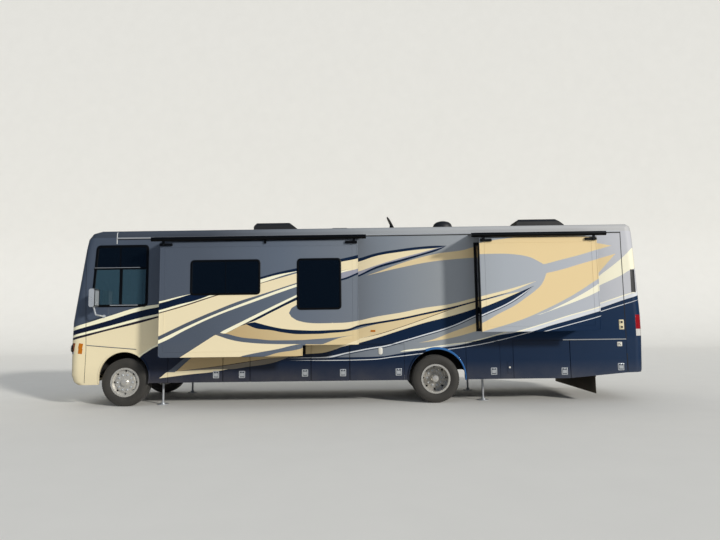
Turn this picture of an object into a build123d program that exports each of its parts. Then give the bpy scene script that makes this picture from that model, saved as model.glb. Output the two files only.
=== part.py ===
from build123d import *
import math
import os

os.makedirs("parts", exist_ok=True)

# Millimetres. X runs from the nose to the tail, the driver's side is at -Y, and the ground is at Z 0.

# Body
nose_x = -5990
tail_x = 5990
half_width = 1290
wall = 55
roof_crown_z = 3705
roof_side_z = 3632
roof_edge_r = 105
roof_seam_z = 3480
nose_bow = 145
tail_bow = 35
nose_corner_r = 240
tail_corner_r = 200
skirt_z = 477
front_cap_length = 484
brow_length = 1055
brow_z = 3322
rear_cap_length = 409
side_clear = 1
seam = 0.3
past = 110

# Floor and basement
floor_top = 1040
floor_thick = 60
bay_skin = 20
bay_floor_z = 500
tail_bay_floor_z = 620
bay_inner_y = 625
jack_bay_y = 960
engine_hump_top = 1360

# Wheels and axles
front_overhang = 1270
wheelbase = 6400
tyre_r = 487
tyre_w = 255
tyre_bore_r = 286
wheel_in = 187
twin_spacing = 300
well_above = 166
king_pin_in = 175
king_pin_r = 20
spindle_r = 38
axle_tube_r = 70
run_gap = 0.5

# Wheel arches: how far each stands off the tyre, and its centre above the hub
front_arch_gap = 33
front_arch_up = 108
rear_arch_gap = 89
rear_arch_up = 33
rear_arch_back = 20
well_ahead = 113
well_skin = 20

# Slide-out rooms
slide_out = 600
fascia = 45
fascia_lap = 75
fascia_bevel = 12
slide_skin = 40
slide_gap = 15
slide_inside = 700
slide_top_z = 3290
front_slide_x0 = -3795
front_slide_x1 = 120
front_slide_step_x = -977
front_slide_low_z = 1020
front_slide_high_z = 1230
rear_slide_x0 = 2520
rear_slide_x1 = 4830
rear_slide_z = 1440
window_r = 60
pane_lip = 16

# Rolled awning over each slide-out room
roller_r = 42
roller_z = 3342
roller_over = 165
bracket_w = 50
bracket_drop = 130
bracket_foot = 55
sheet_thick = 3
sheet_below = 40
sheet_short = 60

# Doors
door_thick = 30
door_gap = 10
door_back_gap = 6
hinge_in = 9
hinge_pin_r = 3
pin_end = 5
low_door_top = 990
mid_door_top = 1212
high_door_top = 1245
belt_z = 1252
entry_thick = 45

# Chassis
rail_y = 430
rail_web = 10
rail_flange = 75
rail_h = 240
spring_half = 38
hanger_below = 40
outrigger_low = 100
exhaust_y = 255
exhaust_r = 36
muffler_r = 95
muffler_drop = 55

# Jacks
jack_rod_r = 22
jack_tube_r = 50
jack_tube_z = 440
jack_pad_r = 115

# Places that follow from the sizes
front_seam_x = nose_x + front_cap_length
brow_seam_x = nose_x + brow_length
rear_seam_x = tail_x - rear_cap_length
cut_x = tail_x + past
cut_y = half_width + past
cut_z = roof_crown_z + past
inner_y = half_width - wall
floor_under = floor_top - floor_thick
axle_z = tyre_r
front_axle_x = nose_x + front_overhang
rear_axle_x = front_axle_x + wheelbase
wheel_y = half_width - wheel_in
twin_y = wheel_y - twin_spacing
king_pin_y = wheel_y - king_pin_in
rail_top = floor_under - seam
rail_low = rail_top - rail_h
rail_x0 = nose_x + 290
rail_x1 = tail_x - 270
hanger_z = rail_low - hanger_below
rear_arch_x = rear_axle_x + rear_arch_back
slide_face_y = -half_width - slide_out
slide_back_y = slide_face_y + fascia
roller_y = slide_face_y - roller_r

pieces = {}


def block(x0, x1, y0, y1, z0, z1):
    middle = Pos((x0 + x1) / 2, (y0 + y1) / 2, (z0 + z1) / 2)
    return middle * Box(x1 - x0, y1 - y0, z1 - z0)


def rect(x0, x1, z0, z1, r=0):
    shape = RectangleRounded(x1 - x0, z1 - z0, r) if r else Rectangle(x1 - x0, z1 - z0)
    return Pos((x0 + x1) / 2, (z0 + z1) / 2) * shape


def outline(points, radii=None):
    face = make_face(Polyline(*points, close=True))
    for (x, z), r in zip(points, radii or []):
        corner = face.vertices().sort_by_distance((x, z, 0))[0]
        face = fillet(corner, r)
    return face


def along_y(sketch, y0, y1):
    """A solid whose side view is the sketch, from Y y0 to the lower Y y1."""
    return extrude(Plane.XZ.offset(-y0) * sketch, amount=y0 - y1, dir=(0, -1, 0))


def along_x(sketch, x0, x1):
    return extrude(Plane.YZ.offset(x0) * sketch, amount=x1 - x0, dir=(1, 0, 0))


def rod(r, start, end):
    line = Vector(*end) - Vector(*start)
    place = Plane(origin=start, z_dir=line)
    return extrude(place * Circle(r), amount=line.length, dir=line.normalized())


def shifted(shape, x=0, z=0):
    return shape.moved(Location((x, 0, z)))


def far_side(shape):
    return mirror(shape, about=Plane.XZ)


def both_sides(shape):
    return [shape, far_side(shape)]


def keep(name, *shapes):
    solids = [solid for shape in shapes for solid in shape.solids()]
    pieces[name] = solids[0] if len(solids) == 1 else Compound(children=solids)


# Body hull: level sections, moved at the nose and the tail as they rise.
# z of the outside, z step to the inside, nose set back, tail set forward
hull_levels = [
    (445, 55, 150, 90),
    (500, 30, 62, 70),
    (640, 10, 10, 30),
    (1320, 0, 0, 0),
    (1740, 0, 10, 0),
    (3254, 0, 230, 70),
    (3475, -25, 275, 84),
    (3590, -41, 366, 110),
    (3674, -54, 680, 240),
    (3725, -55, 1100, 520),
]
# x and z along the skirt's lower edge
skirt_line = [(nose_x - past, skirt_z - 32), (nose_x + 690, skirt_z - 25), (front_axle_x + 520, skirt_z),
              (rear_seam_x - 1180, skirt_z), (rear_seam_x, skirt_z + 101), (tail_x + past, skirt_z + 113)]


def level(z, inset, nose_back, tail_fore):
    a = half_width - inset
    share = (a / half_width) ** 2
    x0 = nose_x + nose_back + inset
    x1 = tail_x - tail_fore - inset
    nose = ThreePointArc((x0 + nose_bow * share, -a), (x0, 0), (x0 + nose_bow * share, a))
    tail = ThreePointArc((x1 - tail_bow * share, a), (x1, 0), (x1 - tail_bow * share, -a))
    face = make_face([nose, Line(nose @ 1, tail @ 0), tail, Line(tail @ 1, nose @ 0)])
    face = fillet(face.vertices().group_by(Axis.X)[0], nose_corner_r - inset)
    face = fillet(face.vertices().group_by(Axis.X)[-1], tail_corner_r - inset)
    return Plane.XY.offset(z) * face


def end_view(inset):
    """The roof's crown and rounded edges; its sides clear the level sections' flat ones."""
    a = half_width - inset + side_clear
    top = roof_side_z - inset
    roof = ThreePointArc((-a, top), (0, roof_crown_z - inset), (a, top))
    face = make_face([roof, Line((a, top), (a, 0)), Line((a, 0), (-a, 0)), Line((-a, 0), (-a, top))])
    return fillet(face.vertices().group_by(Axis.Y)[-1], roof_edge_r - inset / 2)


def hull(inset):
    rows = [(z + (rise if inset else 0), nose, tail) for z, rise, nose, tail in hull_levels]
    body = loft([level(z, inset, nose, tail) for z, nose, tail in rows], ruled=True)
    body = body & along_x(end_view(inset), -cut_x, cut_x)
    under = outline([(x, z + inset) for x, z in skirt_line] + [(cut_x, 0), (-cut_x, 0)])
    return body - along_y(under, cut_y, -cut_y)


outer = hull(0)
inner = hull(wall)
shell = outer - inner


# Openings in the walls, as X and Z outlines
def slide_outline(kind, inset):
    top = slide_top_z - inset
    if kind == "front":
        x0 = front_slide_x0 + inset
        x1 = front_slide_x1 - inset
        xs = front_slide_step_x - inset
        low = front_slide_low_z + inset
        high = front_slide_high_z + inset
        return outline([(x0, low), (xs, low), (xs, high), (x1, high), (x1, top), (x0, top)])
    return rect(rear_slide_x0 + inset, rear_slide_x1 - inset, rear_slide_z + inset, top)


def arch(x, z, r):
    return Pos(x, z) * Circle(r) + rect(x - r, x + r, z - tyre_r - past, z)


front_arch = arch(front_axle_x, axle_z + front_arch_up, tyre_r + front_arch_gap)
rear_arch = arch(rear_arch_x, axle_z + rear_arch_up, tyre_r + rear_arch_gap)
cab_x0 = nose_x + 565
cab_x1 = nose_x + 1715
cab_z0 = 2055
cab_z1 = 3318
cab_lean = 85
cab_window = outline([(cab_x0, cab_z0), (cab_x1, cab_z0), (cab_x1, cab_z1), (cab_x0 + cab_lean, cab_z1)],
                     [80, 60, 60, 120])

# Door rows: name, x0, x1, top. The rear arch stands between two doors on each side.
ahead_of_arch = rear_arch_x - tyre_r - rear_arch_gap - 83
behind_arch = rear_arch_x + tyre_r + rear_arch_gap + 20
left_doors = [
    ("left_bay_door_1", -3815, -2682, low_door_top),
    ("left_bay_door_2", -2682, -2124, low_door_top),
    ("left_bay_door_3", -2124, -874, low_door_top),
    ("left_bay_door_4", -874, -80, mid_door_top),
    ("left_bay_door_5", -80, ahead_of_arch, mid_door_top),
    ("left_bay_door_6", behind_arch, 2996, high_door_top),
    ("left_bay_door_7", 3258, 4419, high_door_top),
    ("left_bay_door_8", 4419, rear_seam_x - 6, high_door_top),
]
right_doors = [
    ("right_bay_door_1", -3100, -1400, high_door_top),
    ("right_bay_door_2", -1400, ahead_of_arch, high_door_top),
    ("right_bay_door_3", behind_arch, 4419, high_door_top),
]
entry_x0 = -3930
entry_x1 = -3230
entry_z0 = 560
entry_z1 = 2640


def door_hole(x0, x1, z1):
    """Full depth below the floor, and only the outer layer beside and above it."""
    front = block(x0, x1, -cut_y, -half_width + door_thick + door_back_gap, 0, z1)
    return front + block(x0, x1, -cut_y, -inner_y + 20, 0, floor_under)


def hinge_rod(x0, z0, z1, r):
    """Upright round bar on a door's hinge line, from the door opening's front edge x0."""
    x = x0 + door_gap / 2 + hinge_in
    return rod(r, (x, -half_width + hinge_in, z0), (x, -half_width + hinge_in, z1))


def hung(slab, x0, z1):
    """The slab with its hinge edge rounded and bored for the pin."""
    edge = slab.edges().filter_by(Axis.Z).group_by(Axis.X)[0].sort_by(Axis.Y)[0]
    return fillet(edge, hinge_in - 1) - hinge_rod(x0, 0, z1 + past, hinge_pin_r + run_gap)


def bay_door(x0, x1, z1):
    slab = block(x0 + door_gap / 2, x1 - door_gap / 2, -cut_y, -half_width + door_thick, 0, z1 - door_gap)
    return hung(slab & outer, x0, z1)


# Bars that the rooms slide on, on the lower edge of each opening: x and z of the room's edge
wear_w = 120
rear_wear = [(rear_slide_x0 + 280, rear_slide_z), (rear_slide_x1 - 280, rear_slide_z)]
left_wear = [(front_slide_x0 + 295, front_slide_low_z), (front_slide_step_x - 323, front_slide_low_z),
             (front_slide_x1 - 220, front_slide_high_z)] + rear_wear


def wear_bar(x, z):
    top = z + fascia_lap - seam
    return block(x - wear_w / 2, x + wear_w / 2, -half_width + 2, -inner_y, top - slide_gap, top)


def side_wall(openings, doors, wear):
    """Side panel and skirt panel on the driver's side between the caps, and the doors' hinge pins."""
    zone = block(front_seam_x + seam, rear_seam_x, -cut_y, -inner_y, 0, roof_seam_z)
    panel = shell & (zone - block(-cut_x, brow_seam_x + seam, -cut_y, -inner_y, brow_z - seam, cut_z))
    for shape in openings:
        panel = panel - along_y(shape, -inner_y + past, -cut_y)
    pins = []
    for name, x0, x1, z1 in doors:
        panel = panel - door_hole(x0, x1, z1)
        panel = panel - hinge_rod(x0, z1 - 1, z1 + pin_end + seam, hinge_pin_r + seam)
        pins.append(hinge_rod(x0, skirt_z + 4, z1 + pin_end, hinge_pin_r))
    for x, z in wear:
        panel = panel + wear_bar(x, z)
    return [panel - block(-cut_x, cut_x, -cut_y, 0, belt_z, belt_z + seam), *pins]


slide_hole_in = fascia_lap - slide_gap
shared_holes = [front_arch, rear_arch, cab_window, slide_outline("rear", slide_hole_in)]
right_windows = [rect(x0, x1, z0, z1, window_r) for x0, x1, z0, z1 in
                 [(-2900, -1900, 2242, 2908), (-1200, 0, 2242, 2908), (700, 1700, 2300, 2900)]]
entry_hole = rect(entry_x0, entry_x1, entry_z0, entry_z1)
keep("left_wall", *side_wall(shared_holes + [slide_outline("front", slide_hole_in)], left_doors, left_wear))
right_panel, *right_pins = side_wall(shared_holes + right_windows + [entry_hole], right_doors, rear_wear)
pin_z0 = entry_z0 - pin_end
pin_z1 = entry_z1 + pin_end
right_panel = right_panel - hinge_rod(entry_x0, pin_z0 - seam, pin_z1 + seam, hinge_pin_r + seam)
right_pins.append(hinge_rod(entry_x0, pin_z0, pin_z1, hinge_pin_r))
keep("right_wall", far_side(right_panel), *[far_side(pin) for pin in right_pins])

# Doors
for name, x0, x1, z1 in left_doors:
    keep(name, bay_door(x0, x1, z1))
for name, x0, x1, z1 in right_doors:
    keep(name, far_side(bay_door(x0, x1, z1)))
entry = block(entry_x0 + door_gap / 2, entry_x1 - door_gap / 2, -half_width, -half_width + entry_thick,
              entry_z0 + door_gap / 2, entry_z1 - door_gap / 2)
entry_pane = rect(entry_x0 + 170, entry_x1 - 130, entry_z1 - 740, entry_z1 - 160, window_r)
entry = entry - along_y(entry_pane, -inner_y + past, -cut_y)
keep("entry_door", far_side(hung(entry, entry_x0, entry_z1)))

# Roof
keep("roof", shell & block(brow_seam_x + seam, rear_seam_x, -cut_y, cut_y, roof_seam_z + seam, cut_z))

# Front cap with its windshield, headlamps and barred grille
pan_lip = 40
glass_z0 = 1930
glass_z1 = 3330
glass_half = 1120
glass_r = 120
pane_back = 8
lamp_z0 = 1075
lamp_z1 = 1304
lamp_in_y = 790
lamp_side_x = nose_x + 245
lamp_slant = 45
grille_half = 560
grille_z0 = 1030
grille_z1 = 1450
grille_bars = 4
bar_h = 34
bar_back = 12
bar_skin = 30


def nose_zone(half, z0, z1, r):
    """Everything ahead of the windshield's foot inside a rounded front-view frame."""
    return along_x(rect(-half, half, z0, z1, r), -cut_x, nose_x + 590)


def lamp_zone(gap):
    """The headlamp's room: a band round the corner, cut off at a slant in the side view."""
    z0 = lamp_z0 + gap
    z1 = lamp_z1 - gap
    x = lamp_side_x - gap
    band = outline([(-cut_x, z0), (x - lamp_slant, z0), (x, z1), (-cut_x, z1)])
    return along_y(band, -lamp_in_y - gap, -cut_y)


front_zone = block(-cut_x, front_seam_x, -cut_y, cut_y, 0, cut_z)
front_zone = front_zone + block(front_seam_x - 1, brow_seam_x, -cut_y, cut_y, brow_z, cut_z)
front_cap = shell & front_zone
open_half = inner_y - pan_lip
front_cap = front_cap - block(nose_x + 350, brow_seam_x, -open_half, open_half, 0, skirt_z + 123)
front_cap = front_cap - nose_zone(glass_half, glass_z0, glass_z1, glass_r)
for pocket in both_sides(lamp_zone(0)):
    front_cap = front_cap - pocket
skin = outer - shifted(outer, x=bar_skin)
bar_step = (grille_z1 - grille_z0) / (grille_bars + 1)
front_cap = front_cap - nose_zone(grille_half, grille_z0, grille_z1, window_r)
for n in range(1, grille_bars + 1):
    bar_z = grille_z0 + n * bar_step
    bar = nose_zone(grille_half + 5, bar_z - bar_h / 2, bar_z + bar_h / 2, 0)
    front_cap = front_cap + (shifted(skin, x=bar_back) & bar)
keep("front_cap", front_cap)
keep("headlamps", *both_sides(shell & lamp_zone(seam)))
pane = shifted(outer, x=pane_back) - shifted(outer, x=2 * pane_back)
keep("windshield", pane & nose_zone(glass_half - seam, glass_z0 + seam, glass_z1 - seam, glass_r))

# Rear cap and tail lamps
tail_lamp_x = tail_x - 200
tail_lamp_y = half_width - 160
tail_lamp_z0 = 1315
tail_lamp_z1 = 1745


def tail_lamp_zone(gap):
    return block(tail_lamp_x + gap, cut_x, -cut_y, -tail_lamp_y - gap, tail_lamp_z0 + gap, tail_lamp_z1 - gap)


rear_cap = shell & block(rear_seam_x + seam, cut_x, -cut_y, cut_y, 0, cut_z)
rear_cap = rear_cap - block(rear_seam_x, rail_x1 + 10, -open_half, open_half, 0, skirt_z + 223)
for pocket in both_sides(tail_lamp_zone(0)):
    rear_cap = rear_cap - pocket
keep("rear_cap", rear_cap)
keep("tail_lamps", *both_sides(shell & tail_lamp_zone(seam)))


# Side windows: a flange that lies on the wall and a plug that fills the opening
def window_pane(sketch, face_y):
    flange = along_y(offset(sketch, amount=pane_lip), face_y - seam, face_y - 6)
    plug = along_y(offset(sketch, amount=-1.5), face_y + 22, face_y - 3)
    return flange + plug


side_panes = both_sides(window_pane(cab_window, -half_width))
keep("side_windows", *side_panes, *[far_side(window_pane(shape, -half_width)) for shape in right_windows])

# Floor with wheel wells, engine hump and stairwell
edge_y = inner_y - seam
well_top = 2 * tyre_r + well_above
# x0, x1 and inner y of the wells on each side
wells = [
    (front_axle_x - tyre_r - well_ahead, front_axle_x + tyre_r + well_ahead, king_pin_y - 355),
    (rear_axle_x - tyre_r - well_ahead - 20, rear_axle_x + tyre_r + well_ahead + 10,
     twin_y - tyre_w / 2 - 25),
]
floor = block(front_seam_x + 6, rear_seam_x - 11, -edge_y, edge_y, floor_under, floor_top)
floor = floor + block(nose_x + 210, front_seam_x + 6, -950, 950, floor_under, floor_top)
hump_x0 = nose_x + 570
hump_x1 = nose_x + 1610
hump_y = 400
hump_skin = 20
floor = floor + block(hump_x0, hump_x1, -hump_y, hump_y, floor_top - 10, engine_hump_top)
floor = floor - block(hump_x0 + hump_skin, hump_x1 - hump_skin, -hump_y + hump_skin, hump_y - hump_skin,
                      0, engine_hump_top - hump_skin)
stair_x0 = entry_x0 - 20
stair_x1 = entry_x1 + 20
stair_y = inner_y - 595
floor = floor - block(stair_x0, stair_x1, stair_y, cut_y, 0, cut_z)


def mirrored_block(x0, x1, y0, y1, z0, z1):
    return block(x0, x1, y0, y1, z0, z1) + block(x0, x1, -y1, -y0, z0, z1)


# The wells stand in the floor, and the floor's panels meet at their ends
well_boxes = []
for x0, x1, y_in in wells:
    box = block(x0 - well_skin, x1 + well_skin, y_in - well_skin, edge_y, 640, well_top + well_skin)
    well_boxes += both_sides(box - block(x0, x1, y_in, cut_y, 0, well_top))
    gap_y = y_in - well_skin - seam
    floor = floor - mirrored_block(x0 - well_skin - seam, x1 + well_skin + seam, gap_y, cut_y, 0, cut_z)
for x in (wells[0][1] + well_skin, wells[1][0] - well_skin, wells[1][1] + well_skin):
    floor = floor - block(x, x + seam, -cut_y, cut_y, 0, cut_z)
keep("coach_floor", floor, *well_boxes)

# Stairwell with two treads, and the folding step outside
stair_skin = 15
tread = 330
stair = block(stair_x0 + seam, stair_x1 - seam, stair_y + seam, edge_y, entry_z0, floor_top)
# inner y and z of each tread
treads = [(stair_y + tread, entry_z0 + stair_skin),
          (stair_y + stair_skin, (entry_z0 + floor_top) / 2 + stair_skin)]
for y0, z0 in treads:
    stair = stair - block(stair_x0 + stair_skin, stair_x1 - stair_skin, y0, cut_y, z0, cut_z)
step_z = 330
step_x0 = entry_x0 + 60
step_x1 = entry_x1 - 60
step = block(step_x0, step_x1, half_width + 40, half_width + 310, step_z, step_z + 25)
for x in (step_x0, step_x1 - 12):
    step = step + block(x, x + 12, half_width - 140, half_width + 110, step_z, skirt_z - 15)
    step = step + block(x, x + 12, half_width - 140, half_width - 70, step_z + 70, entry_z0 - seam)
keep("entry_step", stair, step)

# Storage bays: x0, x1, inner y, floor z, side, and the partitions between neighbouring doors
tail_bay_x = 4420
jack_bay_x = rear_arch_x + tyre_r + well_ahead + 10
bays = [
    (-3815, ahead_of_arch, bay_inner_y, bay_floor_z, -1, [-2682, -2124, -874, -80]),
    (jack_bay_x, 2996, jack_bay_y, bay_floor_z, -1, []),
    (3258, tail_bay_x - 1, bay_inner_y, bay_floor_z, -1, []),
    (tail_bay_x + 1, rear_seam_x - 6, bay_inner_y, tail_bay_floor_z, -1, []),
    (-3100, ahead_of_arch, bay_inner_y, bay_floor_z, 1, [-1400]),
    (jack_bay_x, 4419, jack_bay_y, bay_floor_z, 1, []),
]
bay_mouth_y = half_width - door_thick - door_back_gap - 1
bay_top = floor_under - seam
bay_end = 8
bay_half = bay_skin / 2
bay_panels = []
for x0, x1, y_in, z0, side, partitions in bays:
    a = x0 + bay_end
    b = x1 - bay_end
    panels = [block(a, b, y_in, bay_mouth_y, z0 - bay_skin, z0),
              block(a, b, y_in, y_in + bay_skin, z0 + seam, bay_top)]
    for x in [a + bay_half] + partitions + [b - bay_half]:
        panels.append(block(x - bay_half, x + bay_half, y_in + bay_skin + seam, bay_mouth_y,
                            z0 + seam, bay_top))
    bay_panels += panels if side > 0 else [far_side(panel) for panel in panels]
keep("storage_bays", *bay_panels)

# Chassis frame: rails and cross members
cross_half = 40
cross_low = rail_top - 150
rail = block(rail_x0, rail_x1, rail_y - rail_flange, rail_y, rail_low, rail_top)
rail = rail - block(rail_x0 - 5, rail_x1 + 5, 0, rail_y - rail_web,
                    rail_low + rail_web, rail_top - rail_web)
frame = both_sides(rail)
cross_y = rail_y - rail_web - seam
cross_top = rail_top - rail_web - seam
for x in (rail_x0 + 60, -3700, -2500, -900, 700, 2450, 3000, 3750, 4700, rail_x1 - 120):
    frame.append(block(x - cross_half, x + cross_half, -cross_y, cross_y, cross_low, cross_top))

# Spring hangers: x of each axle's two, and how far out the springs lie
front_spring_x = (front_axle_x - 670, front_axle_x + 670)
rear_spring_x = (rear_axle_x - 700, rear_axle_x + 700)
front_spring_y = rail_y + 55
rear_spring_y = rail_y + 135
for xs, y in ((front_spring_x, front_spring_y), (rear_spring_x, rear_spring_y)):
    for x in xs:
        frame += both_sides(block(x - 40, x + 40, rail_y + seam, y + spring_half, hanger_z, hanger_z + 160))

# Jack tubes on outriggers: x and y on one side
jacks = [("front", front_axle_x + tyre_r + 223, half_width - 320),
         ("rear", rear_axle_x + tyre_r + 543, half_width - 440)]
outrigger_z = rail_top - outrigger_low
for place, x, y in jacks:
    tube = rod(jack_tube_r, (x, y, jack_tube_z), (x, y, rail_top - 20))
    tube = tube + block(x - 35, x + 35, rail_y + seam, y, outrigger_z, rail_top - 20)
    frame += both_sides(tube - rod(jack_rod_r + run_gap, (x, y, 0), (x, y, rail_top - 50)))

# Exhaust, midway between the axle tube and the cross members, in saddles hung from them
exhaust_z = (axle_z + axle_tube_r + cross_low) / 2
muffler_z = exhaust_z - muffler_drop
exhaust = rod(exhaust_r, (-3650, exhaust_y, exhaust_z), (tail_x - 490, exhaust_y, exhaust_z))
frame.append(exhaust + rod(muffler_r, (-1900, exhaust_y, muffler_z), (-1000, exhaust_y, muffler_z)))
for x in (-2500, -900, 700, 2450, 4700):
    saddle = block(x - 6, x + 6, exhaust_y - 45, exhaust_y + 45, exhaust_z + 15, cross_low - seam)
    frame.append(saddle - rod(exhaust_r + seam, (x - past, exhaust_y, exhaust_z),
                              (x + past, exhaust_y, exhaust_z)))

# Hitch receiver: a square socket on a bar below the rails' ends
receiver_out = 32
receiver_in = 25.4
receiver_z = 500
receiver_x1 = tail_x - 30
hitch_pin_in = 45
hitch_pin_r = 8.1
drop = 12
bar_x0 = rail_x1 - 160
bar_x1 = rail_x1 - 80
bar_y = rail_y - drop - seam
bar_half = 30
frame += both_sides(block(bar_x0 - 80, bar_x1 + 60, rail_y - drop, rail_y,
                          receiver_z - bar_half, rail_low - seam))
frame.append(block(bar_x0, bar_x1, -bar_y, bar_y, receiver_z - bar_half, receiver_z + bar_half))
socket = block(bar_x1 + seam, receiver_x1, -receiver_out, receiver_out,
               receiver_z - receiver_out, receiver_z + receiver_out)
socket = socket - block(bar_x1, receiver_x1 + 5, -receiver_in, receiver_in,
                        receiver_z - receiver_in, receiver_z + receiver_in)
pin_x = receiver_x1 - hitch_pin_in
frame.append(socket - rod(hitch_pin_r, (pin_x, -past, receiver_z), (pin_x, past, receiver_z)))
keep("chassis_frame", *frame)

# Engine and gearbox, one plain block carried on the rails
engine_x = front_axle_x + 220
engine = block(nose_x + 690, engine_x, -320, 320, 600, engine_hump_top - 110)
gearbox_end = engine_x + 600
engine = engine + block(engine_x - 10, gearbox_end, -180, 180, rail_low - 180, rail_top - 120)
mount_z = rail_low + rail_web + seam
engine = engine + block(engine_x - 500, engine_x - 380, -cross_y, cross_y, mount_z, mount_z + 70)
keep("engine_block", engine)


# Axles with their leaf springs, and the steering knuckles
def leaf_spring(ends, z_mid, thick, y):
    x0, x1 = ends[0] - 30, ends[1] + 30
    xm = (x0 + x1) / 2
    z_end = hanger_z - seam
    low = ThreePointArc((x0, z_end - thick / 2), (xm, z_mid), (x1, z_end - thick / 2))
    high = ThreePointArc((x1, z_end), (xm, z_mid + thick), (x0, z_end))
    face = make_face([low, Line(low @ 1, high @ 0), high, Line(high @ 1, low @ 0)])
    return along_y(face, y + spring_half, y - spring_half)


beam_top = axle_z - 17
boss_r = 42
boss_half = 60
eye_half = 66
# y and z of the front beam's section along the axle, from its eyes to the drop in the middle
beam_half = [(king_pin_y - 30, axle_z + boss_half - 2), (king_pin_y - 200, beam_top)]
beam_low = [(king_pin_y - 190, beam_top - 90), (king_pin_y - 30, axle_z - boss_half + 2)]
beam_points = beam_half + [(-y, z) for y, z in (beam_low + beam_half)[::-1]] + beam_low
beam = along_x(outline(beam_points), front_axle_x - boss_r, front_axle_x + boss_r)
for y in (-king_pin_y, king_pin_y):
    beam = beam + rod(boss_r, (front_axle_x, y, axle_z - boss_half), (front_axle_x, y, axle_z + boss_half))
    beam = beam - rod(king_pin_r + run_gap, (front_axle_x, y, 0), (front_axle_x, y, 2 * axle_z))
front_spring = leaf_spring(front_spring_x, beam_top + seam, 60, front_spring_y)
keep("front_axle", beam, *both_sides(front_spring))

axle_end_y = wheel_y - 10
rear_tube_y = twin_y - 160
bowl_r = 190
rear_axle = rod(axle_tube_r, (rear_axle_x, -rear_tube_y, axle_z), (rear_axle_x, rear_tube_y, axle_z))
rear_axle = rear_axle + rod(spindle_r, (rear_axle_x, -axle_end_y, axle_z),
                            (rear_axle_x, axle_end_y, axle_z))
rear_axle = rear_axle + rod(bowl_r, (rear_axle_x - 90, 0, axle_z), (rear_axle_x + 110, 0, axle_z))
pinion_x = rear_axle_x - 260
rear_axle = rear_axle + rod(90, (pinion_x, 0, axle_z), (rear_axle_x, 0, axle_z))
drive_shaft = rod(45, (gearbox_end - past, 0, rail_low - 80), (pinion_x + past, 0, axle_z))
drive_shaft = drive_shaft & block(gearbox_end + seam, pinion_x - seam, -past, past, 0, rail_top)
rear_spring = leaf_spring(rear_spring_x, axle_z + axle_tube_r + seam, 75, rear_spring_y)
keep("rear_axle", rear_axle, drive_shaft, *both_sides(rear_spring))

# Right knuckle, drawn round its king pin with the hub outwards: fork, flange, spindle, pin, steering arm
fork_half = 118
fork_out = 50
fork = block(-38, 38, -30, fork_out, -fork_half, fork_half)
fork = fork - block(-60, 60, -90, fork_out - 4, -eye_half, eye_half)
fork = fork + block(-70, 70, fork_out - 3, fork_out + 12, -107, 103)
fork = fork + rod(spindle_r, (0, fork_out, 0), (0, king_pin_in + 50, 0))
fork = fork + rod(king_pin_r, (0, 0, -fork_half + 1), (0, 0, fork_half - 1))
fork = fork + block(30, 230, fork_out - 32, fork_out - 8, -102, -77)
knuckle = fork.moved(Location((front_axle_x, king_pin_y, axle_z)))
keep("left_knuckle", far_side(knuckle))
keep("right_knuckle", knuckle)

# Wheels: sections as radius and distance outwards from the wheel's middle
tread_half = tyre_w / 2
tyre_half = [(tyre_bore_r + seam, tread_half - 15), (tyre_r - 90, tread_half),
             (tyre_r - 16, tread_half - 16), (tyre_r, tread_half - 38)]
tyre_section = tyre_half + [(r, -out) for r, out in tyre_half[::-1]]
flange_r = tyre_bore_r + 12
flange = 6
rim_in = tyre_bore_r - 24
rim_half = tread_half - 6.5
seat_half = rim_half - flange
barrel = [(rim_in, -rim_half), (flange_r, -rim_half), (flange_r, -seat_half), (tyre_bore_r, -seat_half),
          (tyre_bore_r, seat_half), (flange_r, seat_half), (flange_r, rim_half), (rim_in, rim_half)]
hub_bore = spindle_r + run_gap
drum_r = 205
drum_in = drum_r - 15
disc_r = rim_in + 2
front_disc = [(0, 60), (0, 155), (62, 150), (72, 100), (196, 100), (206, 74), (disc_r, 74), (disc_r, 54),
              (drum_r, 54), (drum_r, -100), (drum_in, -100), (drum_in, 54), (80, 54), (80, -60),
              (hub_bore, -60), (hub_bore, 60)]
rear_disc = [(0, -5), (0, 105), (62, 100), (85, -110), (196, -110), (206, -120), (disc_r, -120),
             (disc_r, -190), (rim_in - 6, -190), (rim_in - 6, -140), (drum_r, -140), (drum_r, -390),
             (drum_in, -390), (drum_in, -140), (100, -140), (100, -400), (hub_bore, -400), (hub_bore, -5)]
hand_holes = 8
hand_hole_r = 22
hand_hole_at = rim_in - 30


def spun(points, x, y, side):
    face = make_face(Polyline(*points, close=True))
    ring = revolve(face, axis=Axis.Y)
    ring = ring if side > 0 else far_side(ring)
    return ring.moved(Location((x, side * y, axle_z)))


def hand_holed(solid, x, y0, y1):
    for n in range(hand_holes):
        turn = 2 * math.pi * n / hand_holes
        hx = x + hand_hole_at * math.cos(turn)
        hz = axle_z + hand_hole_at * math.sin(turn)
        solid = solid - rod(hand_hole_r, (hx, y0, hz), (hx, y1, hz))
    return solid


for side, word in ((-1, "left"), (1, "right")):
    keep(f"front_{word}_tyre", spun(tyre_section, front_axle_x, wheel_y, side))
    rim = spun(barrel, front_axle_x, wheel_y, side) + spun(front_disc, front_axle_x, wheel_y, side)
    keep(f"front_{word}_rim", hand_holed(rim, front_axle_x, side * (wheel_y + 30), side * (wheel_y + 130)))
    keep(f"rear_{word}_tyres", *[spun(tyre_section, rear_axle_x, y, side) for y in (wheel_y, twin_y)])
    rim = spun(barrel, rear_axle_x, wheel_y, side) + spun(barrel, rear_axle_x, twin_y, side)
    rim = rim + spun(rear_disc, rear_axle_x, wheel_y, side)
    keep(f"rear_{word}_rims", hand_holed(rim, rear_axle_x, side * (wheel_y - 180), side * (wheel_y - 60)))

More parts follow.
